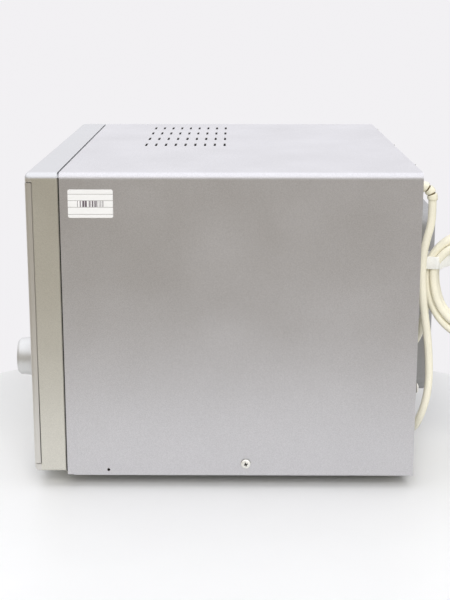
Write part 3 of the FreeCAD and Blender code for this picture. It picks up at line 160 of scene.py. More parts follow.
def apply_modifier(piece, kind, **values):
    """Add one modifier, set it and apply it."""
    modifier = piece.modifiers.new(kind.lower(), kind)
    for name, value in values.items():
        setattr(modifier, name, value)
    bpy.context.view_layer.objects.active = piece
    bpy.ops.object.modifier_apply(modifier=modifier.name)


print("helpers ready")

# %% [markdown]
# The photograph looks at the oven's right side from a little above, from about 1.3 m away.
# A camera could be aimed by eye, but its place was worked out from the case's corners instead.
# The picture is 450 by 600, so the focal length in pixels turns into millimetres on the long side.

# %% Camera
photo_height = 600
focal_pixels = 1319.0
axis_row = 331.0
camera_pitch = math.radians(14.30)
camera_yaw = math.radians(-0.42)
camera_place = Vector((1.297, 0.001, 0.417))

camera_data = bpy.data.cameras.new("side_camera")
camera = new_object("side_camera", camera_data)
camera_data.sensor_width = 36.0
camera_data.lens = camera_data.sensor_width * focal_pixels / photo_height
camera_data.shift_y = axis_row / photo_height - 0.5
looking = Vector((
    -math.cos(camera_pitch) * math.cos(camera_yaw),
    math.cos(camera_pitch) * math.sin(camera_yaw),
    -math.sin(camera_pitch),
))
camera.location = camera_place
camera.rotation_euler = looking.to_track_quat("-Z", "Y").to_euler()
bpy.context.scene.camera = camera
bpy.context.scene.view_settings.view_transform = "Standard"
print("lens", round(camera_data.lens, 2), "mm, shift", round(camera_data.shift_y, 4))

# %% [markdown]
# The mains cord leaves the rear panel at the top, drops behind the oven, and is tied into a hank.
# It could be a bent tube, but a tube's arcs look like wire.
# One NURBS spline with the route's points as its control points hangs as vinyl cord does.
# The hank's turns spiral in, cross to a second layer and spiral out again, so they come from a loop.

# %% Cord route
cord_diameter = 0.007
cord_exit = (0.1820, 0.1692, 0.2490)
drop_points = [
    cord_exit,
    (0.1820, 0.1695, 0.2380),
    (0.1824, 0.1688, 0.2265),
    (0.1830, 0.1654, 0.2145),
    (0.1834, 0.1628, 0.2010),
    (0.1837, 0.1622, 0.1865),
    (0.1838, 0.1630, 0.1715),
    (0.1837, 0.1655, 0.1510),
    (0.1834, 0.1692, 0.1290),
    (0.1830, 0.1714, 0.1075),
    (0.1826, 0.1721, 0.0880),
    (0.1818, 0.1706, 0.0715),
    (0.1785, 0.1670, 0.0560),
    (0.1690, 0.1638, 0.0425),
    (0.1515, 0.1624, 0.0335),
    (0.1310, 0.1618, 0.0335),
    (0.1135, 0.1617, 0.0430),
    (0.1035, 0.1620, 0.0590),
    (0.1020, 0.1625, 0.0760),
    (0.1090, 0.1629, 0.0930),
    (0.1250, 0.1639, 0.1060),
    (0.1435, 0.1656, 0.1160),
    (0.1570, 0.1676, 0.1310),
    (0.1640, 0.1698, 0.1500),
]
hank_middle = Vector((0.1820, 0.2165, 0.1720))
hank_turned = math.radians(15.0)
hank_out = Vector((math.sin(hank_turned), math.cos(hank_turned), 0))
hank_side = Vector((math.cos(hank_turned), -math.sin(hank_turned), 0))
hank_radius = 0.0520
hank_step = 0.0086
hank_turns = 2.0
points_per_turn = 16
fan_out = 0.005
tail_lead = 0.012
tie_turn = math.radians(158.0)
bundle_turn = math.radians(172.0)
bundle_reach = math.radians(62.0)
side_reach = math.radians(84.0)
bundle_radius = 0.0440
bundle_bulge = 0.0070
bulge_turn = math.radians(146.0)
bulge_reach = math.radians(28.0)
strand_places = (
    (0.0032, -0.0037), (-0.0030, -0.0074), (-0.0032, 0.0), (-0.0030, 0.0074), (0.0032, 0.0037))
up = Vector((0, 0, 1))


def near(angle, middle, reach, power):
    """A weight that is 1 at one angle of the hank and fades with the distance from it."""
    past = (angle - middle + math.pi) % (2 * math.pi) - math.pi
    return math.exp(-(abs(past) / reach) ** power)


def hank_point(turns):
    """Where the cord is after so many turns: it spirals in, climbs half a turn, and spirals out.
    Near the strap each strand leaves its spiral for its own place in the bundle."""
    crossing = min(max(turns - hank_turns, 0.0), 0.5)
    wound = min(turns, hank_turns, 2 * hank_turns + 0.5 - turns)
    angle = math.pi - 2 * math.pi * turns
    away = 0.5 + 0.5 * math.cos(angle)
    radius = hank_radius - hank_step * wound + fan_out * away * (1 - wound / hank_turns)
    layer = (2 * crossing - 0.5) * hank_step
    outward, aside = strand_places[round(turns - (math.pi - tie_turn) / (2 * math.pi))]
    bulge = bundle_bulge * near(angle, bulge_turn, bulge_reach, 2)
    radius += near(angle, bundle_turn, bundle_reach, 4) * (bundle_radius + bulge + outward - radius)
    layer += near(angle, bundle_turn, side_reach, 4) * (aside - layer)
    round_place = hank_out * radius * math.cos(angle) + hank_side * layer + up * radius * math.sin(angle)
    return hank_middle + round_place


all_turns = 2 * hank_turns + 0.5
hank_points = [hank_point(step / points_per_turn) for step in range(int(all_turns * points_per_turn) + 1)]
hank_end = hank_points[-1]
plug_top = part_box("plug_body")[1].z
tail_points = [hank_end - up * tail_lead, Vector((hank_end.x, hank_end.y, plug_top))]
print("cord points", len(drop_points) + len(hank_points) + len(tail_points))

# %% Cord
cord_data = bpy.data.curves.new("power_cord", "CURVE")
cord_data.dimensions = "3D"
spline = cord_data.splines.new("NURBS")
route = drop_points + hank_points + tail_points
spline.points.add(len(route) - 1)
for control, place in zip(spline.points, route):
    control.co = (*place, 1)
    control.radius = cord_diameter / 2
spline.order_u = 3
spline.use_endpoint_u = True
spline.resolution_u = 6
cord_data.bevel_depth = 1.0
cord_data.bevel_resolution = 4
cord_data.use_fill_caps = True
cord = new_object("power_cord", cord_data)
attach(cord, "oven")
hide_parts("power_cord_drop", "power_cord_hank", "power_cord_tail")
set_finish(cord, "cord_sheath")
print("cord spline", round(spline.calc_length(), 3), "m")

# %% [markdown]
# The hank is held by a white strap with a loose end that stands out towards the rear.
# A ring would hold as well, but a real strap is one band that goes round and ends in a tag.
# So a single edge is extruded round the strands, step by step, and on into the tag.
# A Solidify modifier then gives the band its thickness.

# %% Strap round the hank
strap_inward = 0.0455
strap_rise = 0.0215
strap_place = hank_middle - hank_out * strap_inward + up * strap_rise
strap_wide = 0.0108
strap_thick = 0.0011
strap_radial = 0.0152
strap_across = 0.0236
strap_corner = 0.0034
corner_steps = 4
tag_steps = 6
tag_step = 0.0026
tag_rise = 0.28
tag_start = math.radians(25.0)
tag_turn = math.radians(7.0)


def strap_path():
    """Steps round a rounded rectangle, anticlockwise, then on into the tag."""
    steps = []
    for run, start in ((strap_across, 90), (strap_radial, 180), (strap_across, 270), (strap_radial, 360)):
        heading = math.radians(start)
        steps.append(Vector((math.cos(heading), math.sin(heading), 0)) * (run - 2 * strap_corner))
        for count in range(corner_steps):
            turned = heading + quarter * (count + 0.5) / corner_steps
            length = strap_corner * quarter / corner_steps
            steps.append(Vector((math.cos(turned), math.sin(turned), 0)) * length)
    for count in range(tag_steps):
        turned = tag_start - tag_turn * count
        steps.append(Vector((math.cos(turned), math.sin(turned), tag_rise)) * tag_step)
    return steps


strap = add_piece(bpy.ops.mesh.primitive_plane_add, size=strap_wide, rotation=(0, quarter, 0))
bpy.ops.object.mode_set(mode="EDIT")
bpy.ops.mesh.select_mode(type="VERT")
bpy.ops.mesh.select_all(action="DESELECT")
shape = bmesh.from_edit_mesh(strap.data)
for corner in shape.verts:
    corner.select_set(corner.co.y > 0)
bmesh.update_edit_mesh(strap.data)
bpy.ops.mesh.delete(type="VERT")
bpy.ops.mesh.select_all(action="SELECT")
for step in strap_path():
    extrude(step)
start_piece()
print("strap edges", len(strap.data.edges))

# %% Strap's thickness, head and place
head_out = 0.0002
head_size = (0.0036, 0.0050, strap_wide + 0.0008)

apply_modifier(strap, "SOLIDIFY", thickness=strap_thick, offset=0.0)
strap_head = add_piece(
    bpy.ops.mesh.primitive_cube_add, size=1, location=(head_out, -strap_corner, 0), scale=head_size)
strap = join_pieces([strap, strap_head], "hank_strap")
apply_modifier(strap, "BEVEL", width=0.0003, segments=2, limit_method="ANGLE")
strap_axes = Matrix((hank_out, -hank_side, up)).transposed().to_4x4()
loop_middle = Vector((-strap_radial / 2, (strap_across - strap_wide) / 2 - strap_corner, 0))
settle(strap, Matrix.Translation(strap_place) @ strap_axes @ Matrix.Translation(-loop_middle))
bpy.ops.object.shade_smooth_by_angle(angle=math.radians(40))
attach(strap, "oven")
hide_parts("cord_tie")
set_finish(strap, "tie_plastic")
print("strap faces", len(strap.data.polygons))

# %% [markdown]
# Where the cord leaves the rear panel, a ribbed relief turns it down, so that it can't be bent sharply.
# It could be a plain elbow, but the real one has collars with dark slits between them.
# A filled circle is spun about the elbow's pivot: once for the sleeve, and once for each collar.
# The sleeve is marked as the bottom of the slits, so that its finish can paint shade into them.

# %% Helpers for the relief's bars
relief_low, relief_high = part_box("strain_relief")
nut_radius = 0.0066
nut_thick = 0.0040
nut_sides = 6
round_sides = 28
degrees_per_step = 8
fewest_steps = 3
relief_axis = relief_high.z - nut_radius
relief_turn = relief_axis - cord_exit[2]
relief_pivot = Vector((cord_exit[0], cord_exit[1] - relief_turn, relief_axis - relief_turn))


def bent_bar(radius, start, stop):
    """A round bar with closed ends, bent about the relief's pivot from one angle to another."""
    bar = add_piece(bpy.ops.mesh.primitive_circle_add, vertices=round_sides, radius=radius, fill_type="NGON")
    turned = Matrix.Translation(relief_pivot) @ Matrix.Rotation(-start, 4, "X")
    settle(bar, turned @ Matrix.Translation((0, 0, relief_turn)) @ Matrix.Rotation(quarter, 4, "X"))
    edit_all()
    steps = max(fewest_steps, round(math.degrees(stop - start) / degrees_per_step))
    bpy.ops.mesh.spin(steps=steps, angle=stop - start, center=relief_pivot, axis=(1, 0, 0))
    leave_outwards()
    return bar


def straight_bar(sides, radius, length):
    """A bar along the relief's axis, out of the panel."""
    return add_piece(
        bpy.ops.mesh.primitive_cylinder_add, vertices=sides, radius=radius, depth=length,
        rotation=(quarter, 0, 0), location=(relief_pivot.x, relief_low.y + length / 2, relief_axis))


print("relief pivot", [round(side, 4) for side in relief_pivot])

# %% Strain relief
sleeve_radius = 0.0034
collar_radius = 0.0045
collar_angles = ((8, 33), (39, 63), (69, 94))
shank_radius = 0.0043

collars = [bent_bar(collar_radius, math.radians(start), math.radians(stop)) for start, stop in collar_angles]
for collar in collars:
    apply_modifier(
        collar, "BEVEL", width=0.0006, segments=2, limit_method="ANGLE", angle_limit=math.radians(50))
sleeve = bent_bar(sleeve_radius, 0.0, math.radians(collar_angles[-1][1]))
slit_mask = sleeve.data.attributes.new("slit", "FLOAT", "FACE")
slit_mask.data.foreach_set("value", [1.0] * len(sleeve.data.polygons))
shank = straight_bar(round_sides, shank_radius, relief_pivot.y - relief_low.y)
nut = straight_bar(nut_sides, nut_radius, nut_thick)
apply_modifier(nut, "BEVEL", width=0.0004, segments=2)
relief = join_pieces([sleeve, *collars, shank, nut], "ribbed_relief")
bpy.ops.object.shade_smooth_by_angle(angle=math.radians(40))
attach(relief, "oven")
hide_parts("strain_relief")
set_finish(relief, "relief_plastic")
print("relief faces", len(relief.data.polygons))

# %% [markdown]
# The knob has a slight taper, a chamfered nose with a shallow dish, and a bore for the shaft.
# A cylinder is drawn in at its nose. The chamfer is an extrude and a resize,
# and the dish and the bore are each an inset and an extrude.

# %% Knob
knob_low, knob_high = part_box("knob")
knob_middle = (knob_low + knob_high) / 2
knob_radius = (knob_high.x - knob_low.x) / 2
nose_radius = 0.0162
chamfer = 0.0022
chamfer_slope = 0.8
dish_wall = 0.0011
dish_depth = 0.0005
bore_radius = 0.00303
bore_depth = 0.0137
barrel = knob_high.y - knob_low.y - chamfer
end_margin = 0.0001

knob = add_piece(
    bpy.ops.mesh.primitive_cylinder_add, vertices=96, radius=knob_radius, depth=barrel,
    rotation=(quarter, 0, 0), location=(knob_middle.x, knob_high.y - barrel / 2, knob_middle.z))
knob.name = "turned_knob"
select_faces(knob, lambda middle, normal: normal.y < -facing)
resize(nose_radius / knob_radius)
extrude((0, -chamfer, 0))
resize((nose_radius - chamfer_slope * chamfer) / nose_radius)
bpy.ops.mesh.inset(thickness=dish_wall)
extrude((0, dish_depth, 0))
select_faces(knob, lambda middle, normal: normal.y > facing and middle.y > knob_high.y - end_margin)
bpy.ops.mesh.inset(thickness=knob_radius - bore_radius)
extrude((0, -bore_depth, 0))
start_piece()
apply_modifier(knob, "BEVEL", width=0.0004, segments=3, limit_method="ANGLE", angle_limit=math.radians(25))
knob.select_set(True)
bpy.ops.object.shade_smooth_by_angle(angle=math.radians(35))
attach(knob, "knob")
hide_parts("knob")
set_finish(knob, "knob_plastic")
print("knob", round(2 * knob_radius * 1000, 1), "mm across", len(knob.data.polygons), "faces")

# %% [markdown]
# The case screws have pan heads with a cross recess, which shows as a dark star.
# One is modelled: a shank's end is widened and drawn in to a dome, and a cross of wedges is cut out of it.
# A Boolean modifier makes the cut, and the finished screw is copied to every place, with a mesh of its own.

# %% Model screw
head_radius = 0.00433
head_rise = 0.0024
screw_length = 0.0070
screw_radius = 0.0019
head_lift = 0.00025
neck_share = 0.9
dome_steps = ((0.00085, 0.97), (0.0006, 0.90), (0.0004, 0.82), (0.0003, 0.70))

model_screw = add_piece(
    bpy.ops.mesh.primitive_cylinder_add, vertices=32, radius=screw_radius, depth=screw_length,
    location=(0, 0, -screw_length / 2))
select_faces(model_screw, lambda middle, normal: normal.z > facing)
resize(neck_share)
extrude((0, 0, head_lift))
resize(head_radius / screw_radius / neck_share)
for rise, share in dome_steps:
    extrude((0, 0, rise))
    resize(share)
start_piece()
print("screw height", round(max(corner.co.z for corner in model_screw.data.vertices), 5))

# %% Cross recess
recess_long = 0.0046
recess_wide = 0.0014
recess_deep = 0.0020
recess_taper = 0.55
recess_reach = 0.55
steep = 0.5
rim_share = 0.93
rim_shadow_share = 0.75

wings = []
for turned in (0, 90):
    wing = add_piece(
        bpy.ops.mesh.primitive_cube_add, size=1, location=(0, 0, head_rise),
        rotation=(0, 0, math.radians(turned)), scale=(recess_long, recess_wide, 2 * recess_deep))
    select_faces(wing, lambda middle, normal: normal.z < -facing)
    resize(recess_taper)
    start_piece()
    wings.append(wing)
for wing in wings:
    apply_modifier(model_screw, "BOOLEAN", operation="DIFFERENCE", object=wing, solver="EXACT")
    bpy.data.objects.remove(wing)
recess_and_rim_shade = model_screw.data.attributes.new("recess", "FLOAT", "FACE")
for face in model_screw.data.polygons:
    inside = face.center.xy.length < recess_reach * recess_long
    sunk = face.center.z < head_rise - recess_deep / 2 or abs(face.normal.z) < steep
    recess_and_rim_shade.data[face.index].value = float(inside and sunk and face.center.z > 0)
    # The head's outer band is darkened as a painted shadow ring.
    if face.center.xy.length > rim_share * head_radius:
        recess_and_rim_shade.data[face.index].value = rim_shadow_share
print("screw faces", len(model_screw.data.polygons))

# %% Screws in their places
side_low, side_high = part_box("side_screws")
side_middle = (side_low + side_high) / 2
case_side = side_high.x - head_rise
rear_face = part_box("rear_screws")[1].y - head_rise
first_turn = 20
next_turn = 37
rear_places = (
    (-0.155, 0.2707), (0.0, 0.2707), (0.155, 0.2707), (-0.2107, 0.0900), (0.2107, 0.0900),
    (-0.1895, 0.0665), (-0.1895, 0.1950), (0.0675, 0.0665), (0.0675, 0.1950))


def set_screws(name, node, places):
    """Copy the model screw to each place and direction, and join the copies."""
    copies = []
    for number, (place, way) in enumerate(places):
        screw = copy_piece(model_screw)
        turned = Matrix.Rotation(math.radians(first_turn + next_turn * number), 4, "Z")
        aimed = way.to_track_quat("Z", "Y").to_matrix().to_4x4()
        settle(screw, Matrix.Translation(place) @ aimed @ turned)
        copies.append(screw)
    screws = join_pieces(copies, name)
    bpy.ops.object.shade_smooth_by_angle(angle=math.radians(30))
    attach(screws, "oven")
    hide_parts(node)
    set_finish(screws, "screw_steel")
    return screws


side_screws = set_screws("case_side_screws", "side_screws", [
    (Vector((side * case_side, side_middle.y, side_middle.z)), Vector((side, 0, 0))) for side in (1, -1)])
rear_screws = set_screws("case_rear_screws", "rear_screws", [
    (Vector((across, rear_face, height)), Vector((0, 1, 0))) for across, height in rear_places])
bpy.data.objects.remove(model_screw)
print("screws", 2 + len(rear_places))

# %% [markdown]
# The panel has printed marks: a scale round the knob, and a sign on each key.
# Prints could be drawn by a material, but raised ink has an edge that shows from close by.
# Each mark starts as a flat shape, and is extruded by the thickness of the ink.

# %% Scale round the knob
panel_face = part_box("control_panel")[0].y
ink = 0.00012
tick_inner = 0.0203
tick_long = 0.0028
tick_wide = 0.0009
tick_count = 11
long_every = 5
long_share = 1.5
scale_sweep = math.radians(270)


def print_mark(shape, face):
    """Lay a flat shape that faces +Z onto a face that looks to the front, and give it the ink's thickness."""
    settle(shape)
    edit_all()
    extrude((0, 0, ink))
    leave_outwards()
    settle(shape, face @ Matrix.Rotation(quarter, 4, "X"))


def front_of(name):
    """The place of the middle of a node's front, as a matrix."""
    low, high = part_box(name)
    return Matrix.Translation(((low.x + high.x) / 2, low.y, (low.z + high.z) / 2))


ticks = []
for count in range(tick_count):
    long = tick_long * (long_share if count % long_every == 0 else 1.0)
    turned = scale_sweep * (count / (tick_count - 1) - 0.5)
    tick = add_piece(bpy.ops.mesh.primitive_plane_add, size=1)
    tick.scale = (tick_wide, long, 1)
    tick.location = (0, tick_inner + long / 2, 0)
    dial = Matrix.Translation((knob_middle.x, panel_face, knob_middle.z)) @ Matrix.Rotation(turned, 4, "Y")
    print_mark(tick, dial)
    ticks.append(tick)
scale_marks = join_pieces(ticks, "knob_scale")
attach(scale_marks, "oven")
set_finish(scale_marks, "pointer_plastic")
print("scale marks", tick_count)

# %% Signs on the keys
sign_radius = 0.0031
sign_shapes = (("key_start", 3, -90), ("key_stop", 4, 45), ("key_up", 3, 0), ("key_down", 3, 180))
key_signs = []
for key_name, corners, turned in sign_shapes:
    sign = add_piece(
        bpy.ops.mesh.primitive_circle_add, vertices=corners, radius=sign_radius, fill_type="NGON",
        rotation=(0, 0, math.radians(turned)))
    sign.name = key_name + "_sign"
    print_mark(sign, front_of(key_name))
    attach(sign, key_name)
    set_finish(sign, "tie_plastic")
    key_signs.append(sign)
print("key signs", len(key_signs))

# %% [markdown]
# Behind the smoked lens are four figures of seven segments, which show as grey ghosts while the oven is off.
# Each segment is a plane with its ends bevelled to points, which is turned and moved to its place.

# %% Figures in the display
figure_count = 4
figure_high = 0.020
figure_wide = 0.0105
figure_pitch = 0.0165
segment_wide = 0.0021
segment_gap = 0.0004
point_share = 0.48
segment_lean = math.radians(6)

arms = [(0, side * figure_high / 2, 0) for side in (-1, 0, 1)]
arms += [(across * figure_wide / 2, side * figure_high / 4, 90) for across in (-1, 1) for side in (-1, 1)]
segments = []
for figure in range(figure_count):
    for across, height, turned in arms:
        long = (figure_wide if turned == 0 else figure_high / 2) - 2 * segment_gap
        segment = add_piece(bpy.ops.mesh.primitive_plane_add, size=1)
        segment.scale = (long, segment_wide, 1)
        settle(segment)
        edit_all()
        bpy.ops.mesh.bevel(offset=point_share * segment_wide, segments=1, affect="VERTICES")
        start_piece()
        leant = across + height * math.tan(segment_lean)
        segment.rotation_euler = (0, 0, math.radians(turned) - (segment_lean if turned else 0))
        segment.location = ((figure - (figure_count - 1) / 2) * figure_pitch + leant, height, 0)
        print_mark(segment, front_of("display_module"))
        segments.append(segment)
figures = join_pieces(segments, "display_figures")
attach(figures, "oven")
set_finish(figures, "key_plastic")
print("display segments", len(segments))

# %% [markdown]
# Each quartz tube holds a coil of heating wire, which shows through the satin glass.
# A coil could be a long curve, but a small circle and a Screw modifier wind it in one step.
# One coil is modelled and copied into the six tubes.

# %% Heating coils
coil_radius = 0.0034
wire_radius = 0.00045
coil_turns = 56
turn_steps = 14
tube_ends = 0.036
tube_rows = (-0.114, -0.039, 0.036)
tube_low, tube_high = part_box("heaters_upper")
coil_length = (tube_high.x - tube_low.x) - tube_ends
coil_start = (tube_low.x + tube_high.x - coil_length) / 2
coil_heights = [(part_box(row)[0].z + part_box(row)[1].z) / 2 for row in ("heaters_upper", "heaters_lower")]

model_coil = add_piece(
    bpy.ops.mesh.primitive_circle_add, vertices=6, radius=wire_radius, location=(coil_radius, 0, 0),
    rotation=(quarter, 0, 0))
apply_modifier(
    model_coil, "SCREW", axis="Z", angle=2 * math.pi, iterations=coil_turns,
    screw_offset=coil_length / coil_turns, steps=turn_steps, render_steps=turn_steps,
    use_merge_vertices=True, use_normal_calculate=True)
coils = []
for height in coil_heights:
    for row in tube_rows:
        coil = copy_piece(model_coil)
        settle(coil, Matrix.Translation((coil_start, row, height)) @ Matrix.Rotation(quarter, 4, "Y"))
        coils.append(coil)
bpy.data.objects.remove(model_coil)
coils = join_pieces(coils, "heating_coils")
edit_all()
bpy.ops.mesh.fill_holes(sides=8)
bpy.ops.mesh.normals_make_consistent(inside=False)
pick(coils)
bpy.ops.object.shade_smooth()
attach(coils, "oven")
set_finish(coils, "latch_steel")
print("coil faces", len(coils.data.polygons))

# %% [markdown]
# The outer pane has a black border printed on its inner side, which hides where it is glued to the door.
# A plane is inset to make the ring, its middle is deleted, and the ring gets the ink's thickness.

# %% Border of the door's window
pane_low, pane_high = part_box("door_window")
pane_middle = (pane_low + pane_high) / 2
border_edge = 0.0015
border_wide = 0.0200
border_sink = 0.0004
border_corner = 0.006

border = add_piece(bpy.ops.mesh.primitive_plane_add, size=1)
border.name = "window_border"
pane_wide = pane_high.x - pane_low.x - 2 * border_edge
pane_tall = pane_high.z - pane_low.z - 2 * border_edge
border.scale = (pane_wide, pane_tall, 1)
settle(border)
edit_all()
bpy.ops.mesh.bevel(offset=border_corner, segments=5, affect="VERTICES")
bpy.ops.mesh.select_all(action="SELECT")
bpy.ops.mesh.inset(thickness=border_wide)
bpy.ops.mesh.delete(type="FACE")
start_piece()
print_mark(border, Matrix.Translation((pane_middle.x, pane_high.y - border_sink, pane_middle.z)))
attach(border, "door")
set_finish(border, "dark_plastic")
print("border", round(pane_wide, 3), "by", round(pane_tall, 3), "m")

# %% [markdown]
# The oven stands on a round white table, whose far edge shows on both sides of it.
# A floor without end would hide that edge, and the case's lower half would lose the table's reflection.
# A cylinder with its rim rounded by a bevel is enough, because only its top and rim are ever seen.

# %% Table
table_middle = (0.1608, -0.0113)
table_radius = 0.4020
table_thick = 0.030
table_rim = 0.006

table = add_piece(
    bpy.ops.mesh.primitive_cylinder_add, vertices=192, radius=table_radius, depth=table_thick,
    location=(*table_middle, -table_thick / 2))
table.name = "table_top"
select_faces(table, lambda middle, normal: normal.z > facing)
bpy.ops.mesh.bevel(offset=table_rim, segments=4, affect="EDGES")
start_piece()
print("table", round(2 * table_radius, 3), "m across")

# %% [markdown]
# Finishes are node trees, and the same few steps come up in all of them.
# These helpers add a node with its values by name, so that each finish below reads as a recipe.

# %% Helpers for node trees
noise_range = (0.3, 0.7)


def feed(tree, socket, value):
    """Link an input to a socket, or set it to a value. A colour is three numbers and gets full alpha."""
    if isinstance(value, bpy.types.NodeSocket):
        tree.links.new(value, socket)
    else:
        socket.default_value = (*value, 1.0) if socket.type == "RGBA" else value


def feed_node(tree, node, inputs):
    """Feed a node's inputs by name, with an underscore for a space."""
    for name, value in inputs.items():
        feed(tree, node.inputs[name.replace("_", " ")], value)
    return node


def add_node(tree, kind, **inputs):
    """Add a shader node. Each named input takes a value, or a socket to link from."""
    return feed_node(tree, tree.nodes.new("ShaderNode" + kind), inputs)


def split(tree, vector):
    """The X, Y and Z of a vector, as sockets."""
    return add_node(tree, "SeparateXYZ", Vector=vector).outputs


def calculate(tree, operation, *values):
    """A Math node on values or sockets."""
    node = tree.nodes.new("ShaderNodeMath")
    node.operation = operation
    for socket, value in zip(node.inputs, values):
        feed(tree, socket, value)
    return node.outputs["Value"]


def spread(tree, value, low, high, start=0.0, end=1.0):
    """Stretch a value from one range to another."""
    node = add_node(tree, "MapRange", Value=value, From_Min=start, From_Max=end, To_Min=low, To_Max=high)
    return node.outputs["Result"]


def mix_colours(tree, share, first, second, blend="MIX"):
    """Mix two colours, each a value or a socket."""
    node = tree.nodes.new("ShaderNodeMix")
    node.data_type = "RGBA"
    node.blend_type = blend
    for socket, value in ((node.inputs[0], share), (node.inputs[6], first), (node.inputs[7], second)):
        feed(tree, socket, value)
    return node.outputs[2]


def noise(tree, vector, scale, detail=2.0):
    """Soft noise between about 0.3 and 0.7, with so many features to the metre."""
    return add_node(tree, "TexNoise", Vector=vector, Scale=scale, Detail=detail).outputs["Fac"]


def vary(tree, cloud, low, high):
    """Stretch soft noise to a range."""
    return spread(tree, cloud, low, high, *noise_range)


def swing(tree, shade, share):
    """How far a shade between 0 and 1 is from its middle, times a share."""
    return calculate(tree, "MULTIPLY", calculate(tree, "SUBTRACT", shade, 0.5), share)


def shared_group(name, inputs, outputs):
    """An empty node group with named sockets, and its input and output nodes."""
    group = bpy.data.node_groups.new(name, "ShaderNodeTree")
    kinds = {"Vector": "NodeSocketVector", "Colour": "NodeSocketColor"}
    for way, sockets in (("INPUT", inputs), ("OUTPUT", outputs)):
        for socket in sockets:
            kind = kinds.get(socket, "NodeSocketFloat")
            group.interface.new_socket(socket, in_out=way, socket_type=kind)
    return group, group.nodes.new("NodeGroupInput").outputs, group.nodes.new("NodeGroupOutput").inputs


def surface_group(name, control):
    """A shared group for a surface with a colour, a roughness and one control of its own."""
    return shared_group(name, ["Vector", "Colour", "Roughness", control], ["Colour", "Roughness", "Height"])


def put_out(group, given, result, shade, dulling, height):
    """Put out the given colour times a shade, the given roughness plus a change, and a height."""
    group.links.new(mix_colours(group, 1.0, given["Colour"], shade, "MULTIPLY"), result["Colour"])
    group.links.new(calculate(group, "ADD", given["Roughness"], dulling), result["Roughness"])
    group.links.new(height, result["Height"])


print("node helpers ready")

# %% [markdown]
# Silver paint is clear lacquer full of tiny aluminium flakes that lie at slightly different angles.
# A noise would look like dirt, but Voronoi cells give each flake one brightness of its own.
# Broad clouds vary the coat a little, and a fine waviness stands for the sprayed surface.

# %% Shared effect: flakes in paint
flakes, given, result = surface_group("paint_flakes", "Sparkle")
flake_cells = add_node(flakes, "TexVoronoi", Vector=given["Vector"], Scale=1900.0)
flake_shade = add_node(flakes, "SeparateColor", Color=flake_cells.outputs["Color"]).outputs["Red"]
flake_swing = swing(flakes, flake_shade, given["Sparkle"])
coat_cloud = noise(flakes, given["Vector"], 13.0, 4.0)
coat_shade = vary(flakes, coat_cloud, 0.965, 1.035)
flake_light = calculate(flakes, "MULTIPLY", calculate(flakes, "ADD", flake_swing, 1.0), coat_shade)
spray_wave = noise(flakes, given["Vector"], 520.0)
put_out(flakes, given, result, flake_light, vary(flakes, coat_cloud, -0.03, 0.03), spray_wave)
print("paint flakes", len(flakes.nodes), "nodes")

# %% [markdown]
# Moulded plastic takes a fine grain from its mould, with the odd paler or darker patch.
# Two noises do it: a fine one for the grain's height, and a broad one for colour and gloss.

# %% Shared effect: moulded grain
grain, given, result = surface_group("moulded_grain", "Grain")
grain_rise = noise(grain, given["Vector"], given["Grain"], 3.0)
grain_cloud = noise(grain, given["Vector"], 34.0, 3.0)
grain_shade = calculate(
    grain, "MULTIPLY", vary(grain, grain_cloud, 0.95, 1.05), vary(grain, grain_rise, 0.97, 1.03))
put_out(grain, given, result, grain_shade, vary(grain, grain_cloud, -0.06, 0.06), grain_rise)
print("moulded grain", len(grain.nodes), "nodes")

# %% [markdown]
# Rolled sheet shows fine lines along the direction it was rolled in, and zinc shows crystals.
# The lines are noise that is fine across the rolling and long along it, which is along Z here.
# Each material sets how strong its crystals are.

# %% Shared effect: rolled sheet
rolled, given, result = surface_group("rolled_sheet", "Crystals")
squeezed = add_node(rolled, "Mapping", Vector=given["Vector"], Scale=(900.0, 900.0, 16.0)).outputs["Vector"]
roll_line = noise(rolled, squeezed, 1.0)
crystal = add_node(rolled, "TexVoronoi", Vector=given["Vector"], Scale=150.0).outputs["Color"]
crystal_shade = add_node(rolled, "SeparateColor", Color=crystal).outputs["Green"]
crystal_swing = swing(rolled, crystal_shade, given["Crystals"])
sheet_shade = calculate(rolled, "ADD", crystal_swing, vary(rolled, roll_line, 0.92, 1.08))
put_out(rolled, given, result, sheet_shade, vary(rolled, roll_line, -0.07, 0.07), roll_line)
print("rolled sheet", len(rolled.nodes), "nodes")

# %% [markdown]
# Glass and gloss plastic are never quite clean: wiping leaves soft patches that dull the reflection.
# The film is a mask, so that each material decides how much it dulls.

# %% Shared effect: wiping film
film, given, result = shared_group("wiping_film", ["Vector", "Least", "Most"], ["Roughness"])
wipes = add_node(film, "Mapping", Vector=given["Vector"], Scale=(1.0, 1.0, 0.35)).outputs["Vector"]
wipe_mask = noise(film, wipes, 38.0, 5.0)
wipe_share = spread(film, wipe_mask, 0.0, 1.0, 0.45, 0.68)
film_span = calculate(film, "SUBTRACT", given["Most"], given["Least"])
film.links.new(calculate(film, "MULTIPLY_ADD", wipe_share, film_span, given["Least"]), result["Roughness"])
print("wiping film", len(film.nodes), "nodes")

# %% [markdown]
# Nearly every finish is a Principled shader fed by one of those effects.
# The plain numbers, such as how metallic it is, are set on the shader itself.
# Patterns read Object coordinates, which are metres in the oven's own frame.

# %% Helpers for finishes
finishes = {}
paint_relief = 0.000012
sheet_relief = 0.000006


def drive(tree, **inputs):
    """Feed a finish's Principled shader, with values or sockets."""
    feed_node(tree, tree.nodes["Principled BSDF"], inputs)


def raise_surface(tree, height, relief):
    """Bump a finish by a height between 0 and 1, times a relief in metres."""
    bump = add_node(tree, "Bump", Strength=1.0, Distance=relief, Height=height)
    drive(tree, Normal=bump.outputs["Normal"])


def new_finish(slot, **inputs):
    """A material for one of the record's slots: its node tree and its coordinate."""
    material = bpy.data.materials.new(slot)
    material.use_nodes = True
    finishes[slot] = material
    drive(material.node_tree, **inputs)
    return material.node_tree, material.node_tree.nodes.new("ShaderNodeTexCoord").outputs["Object"]


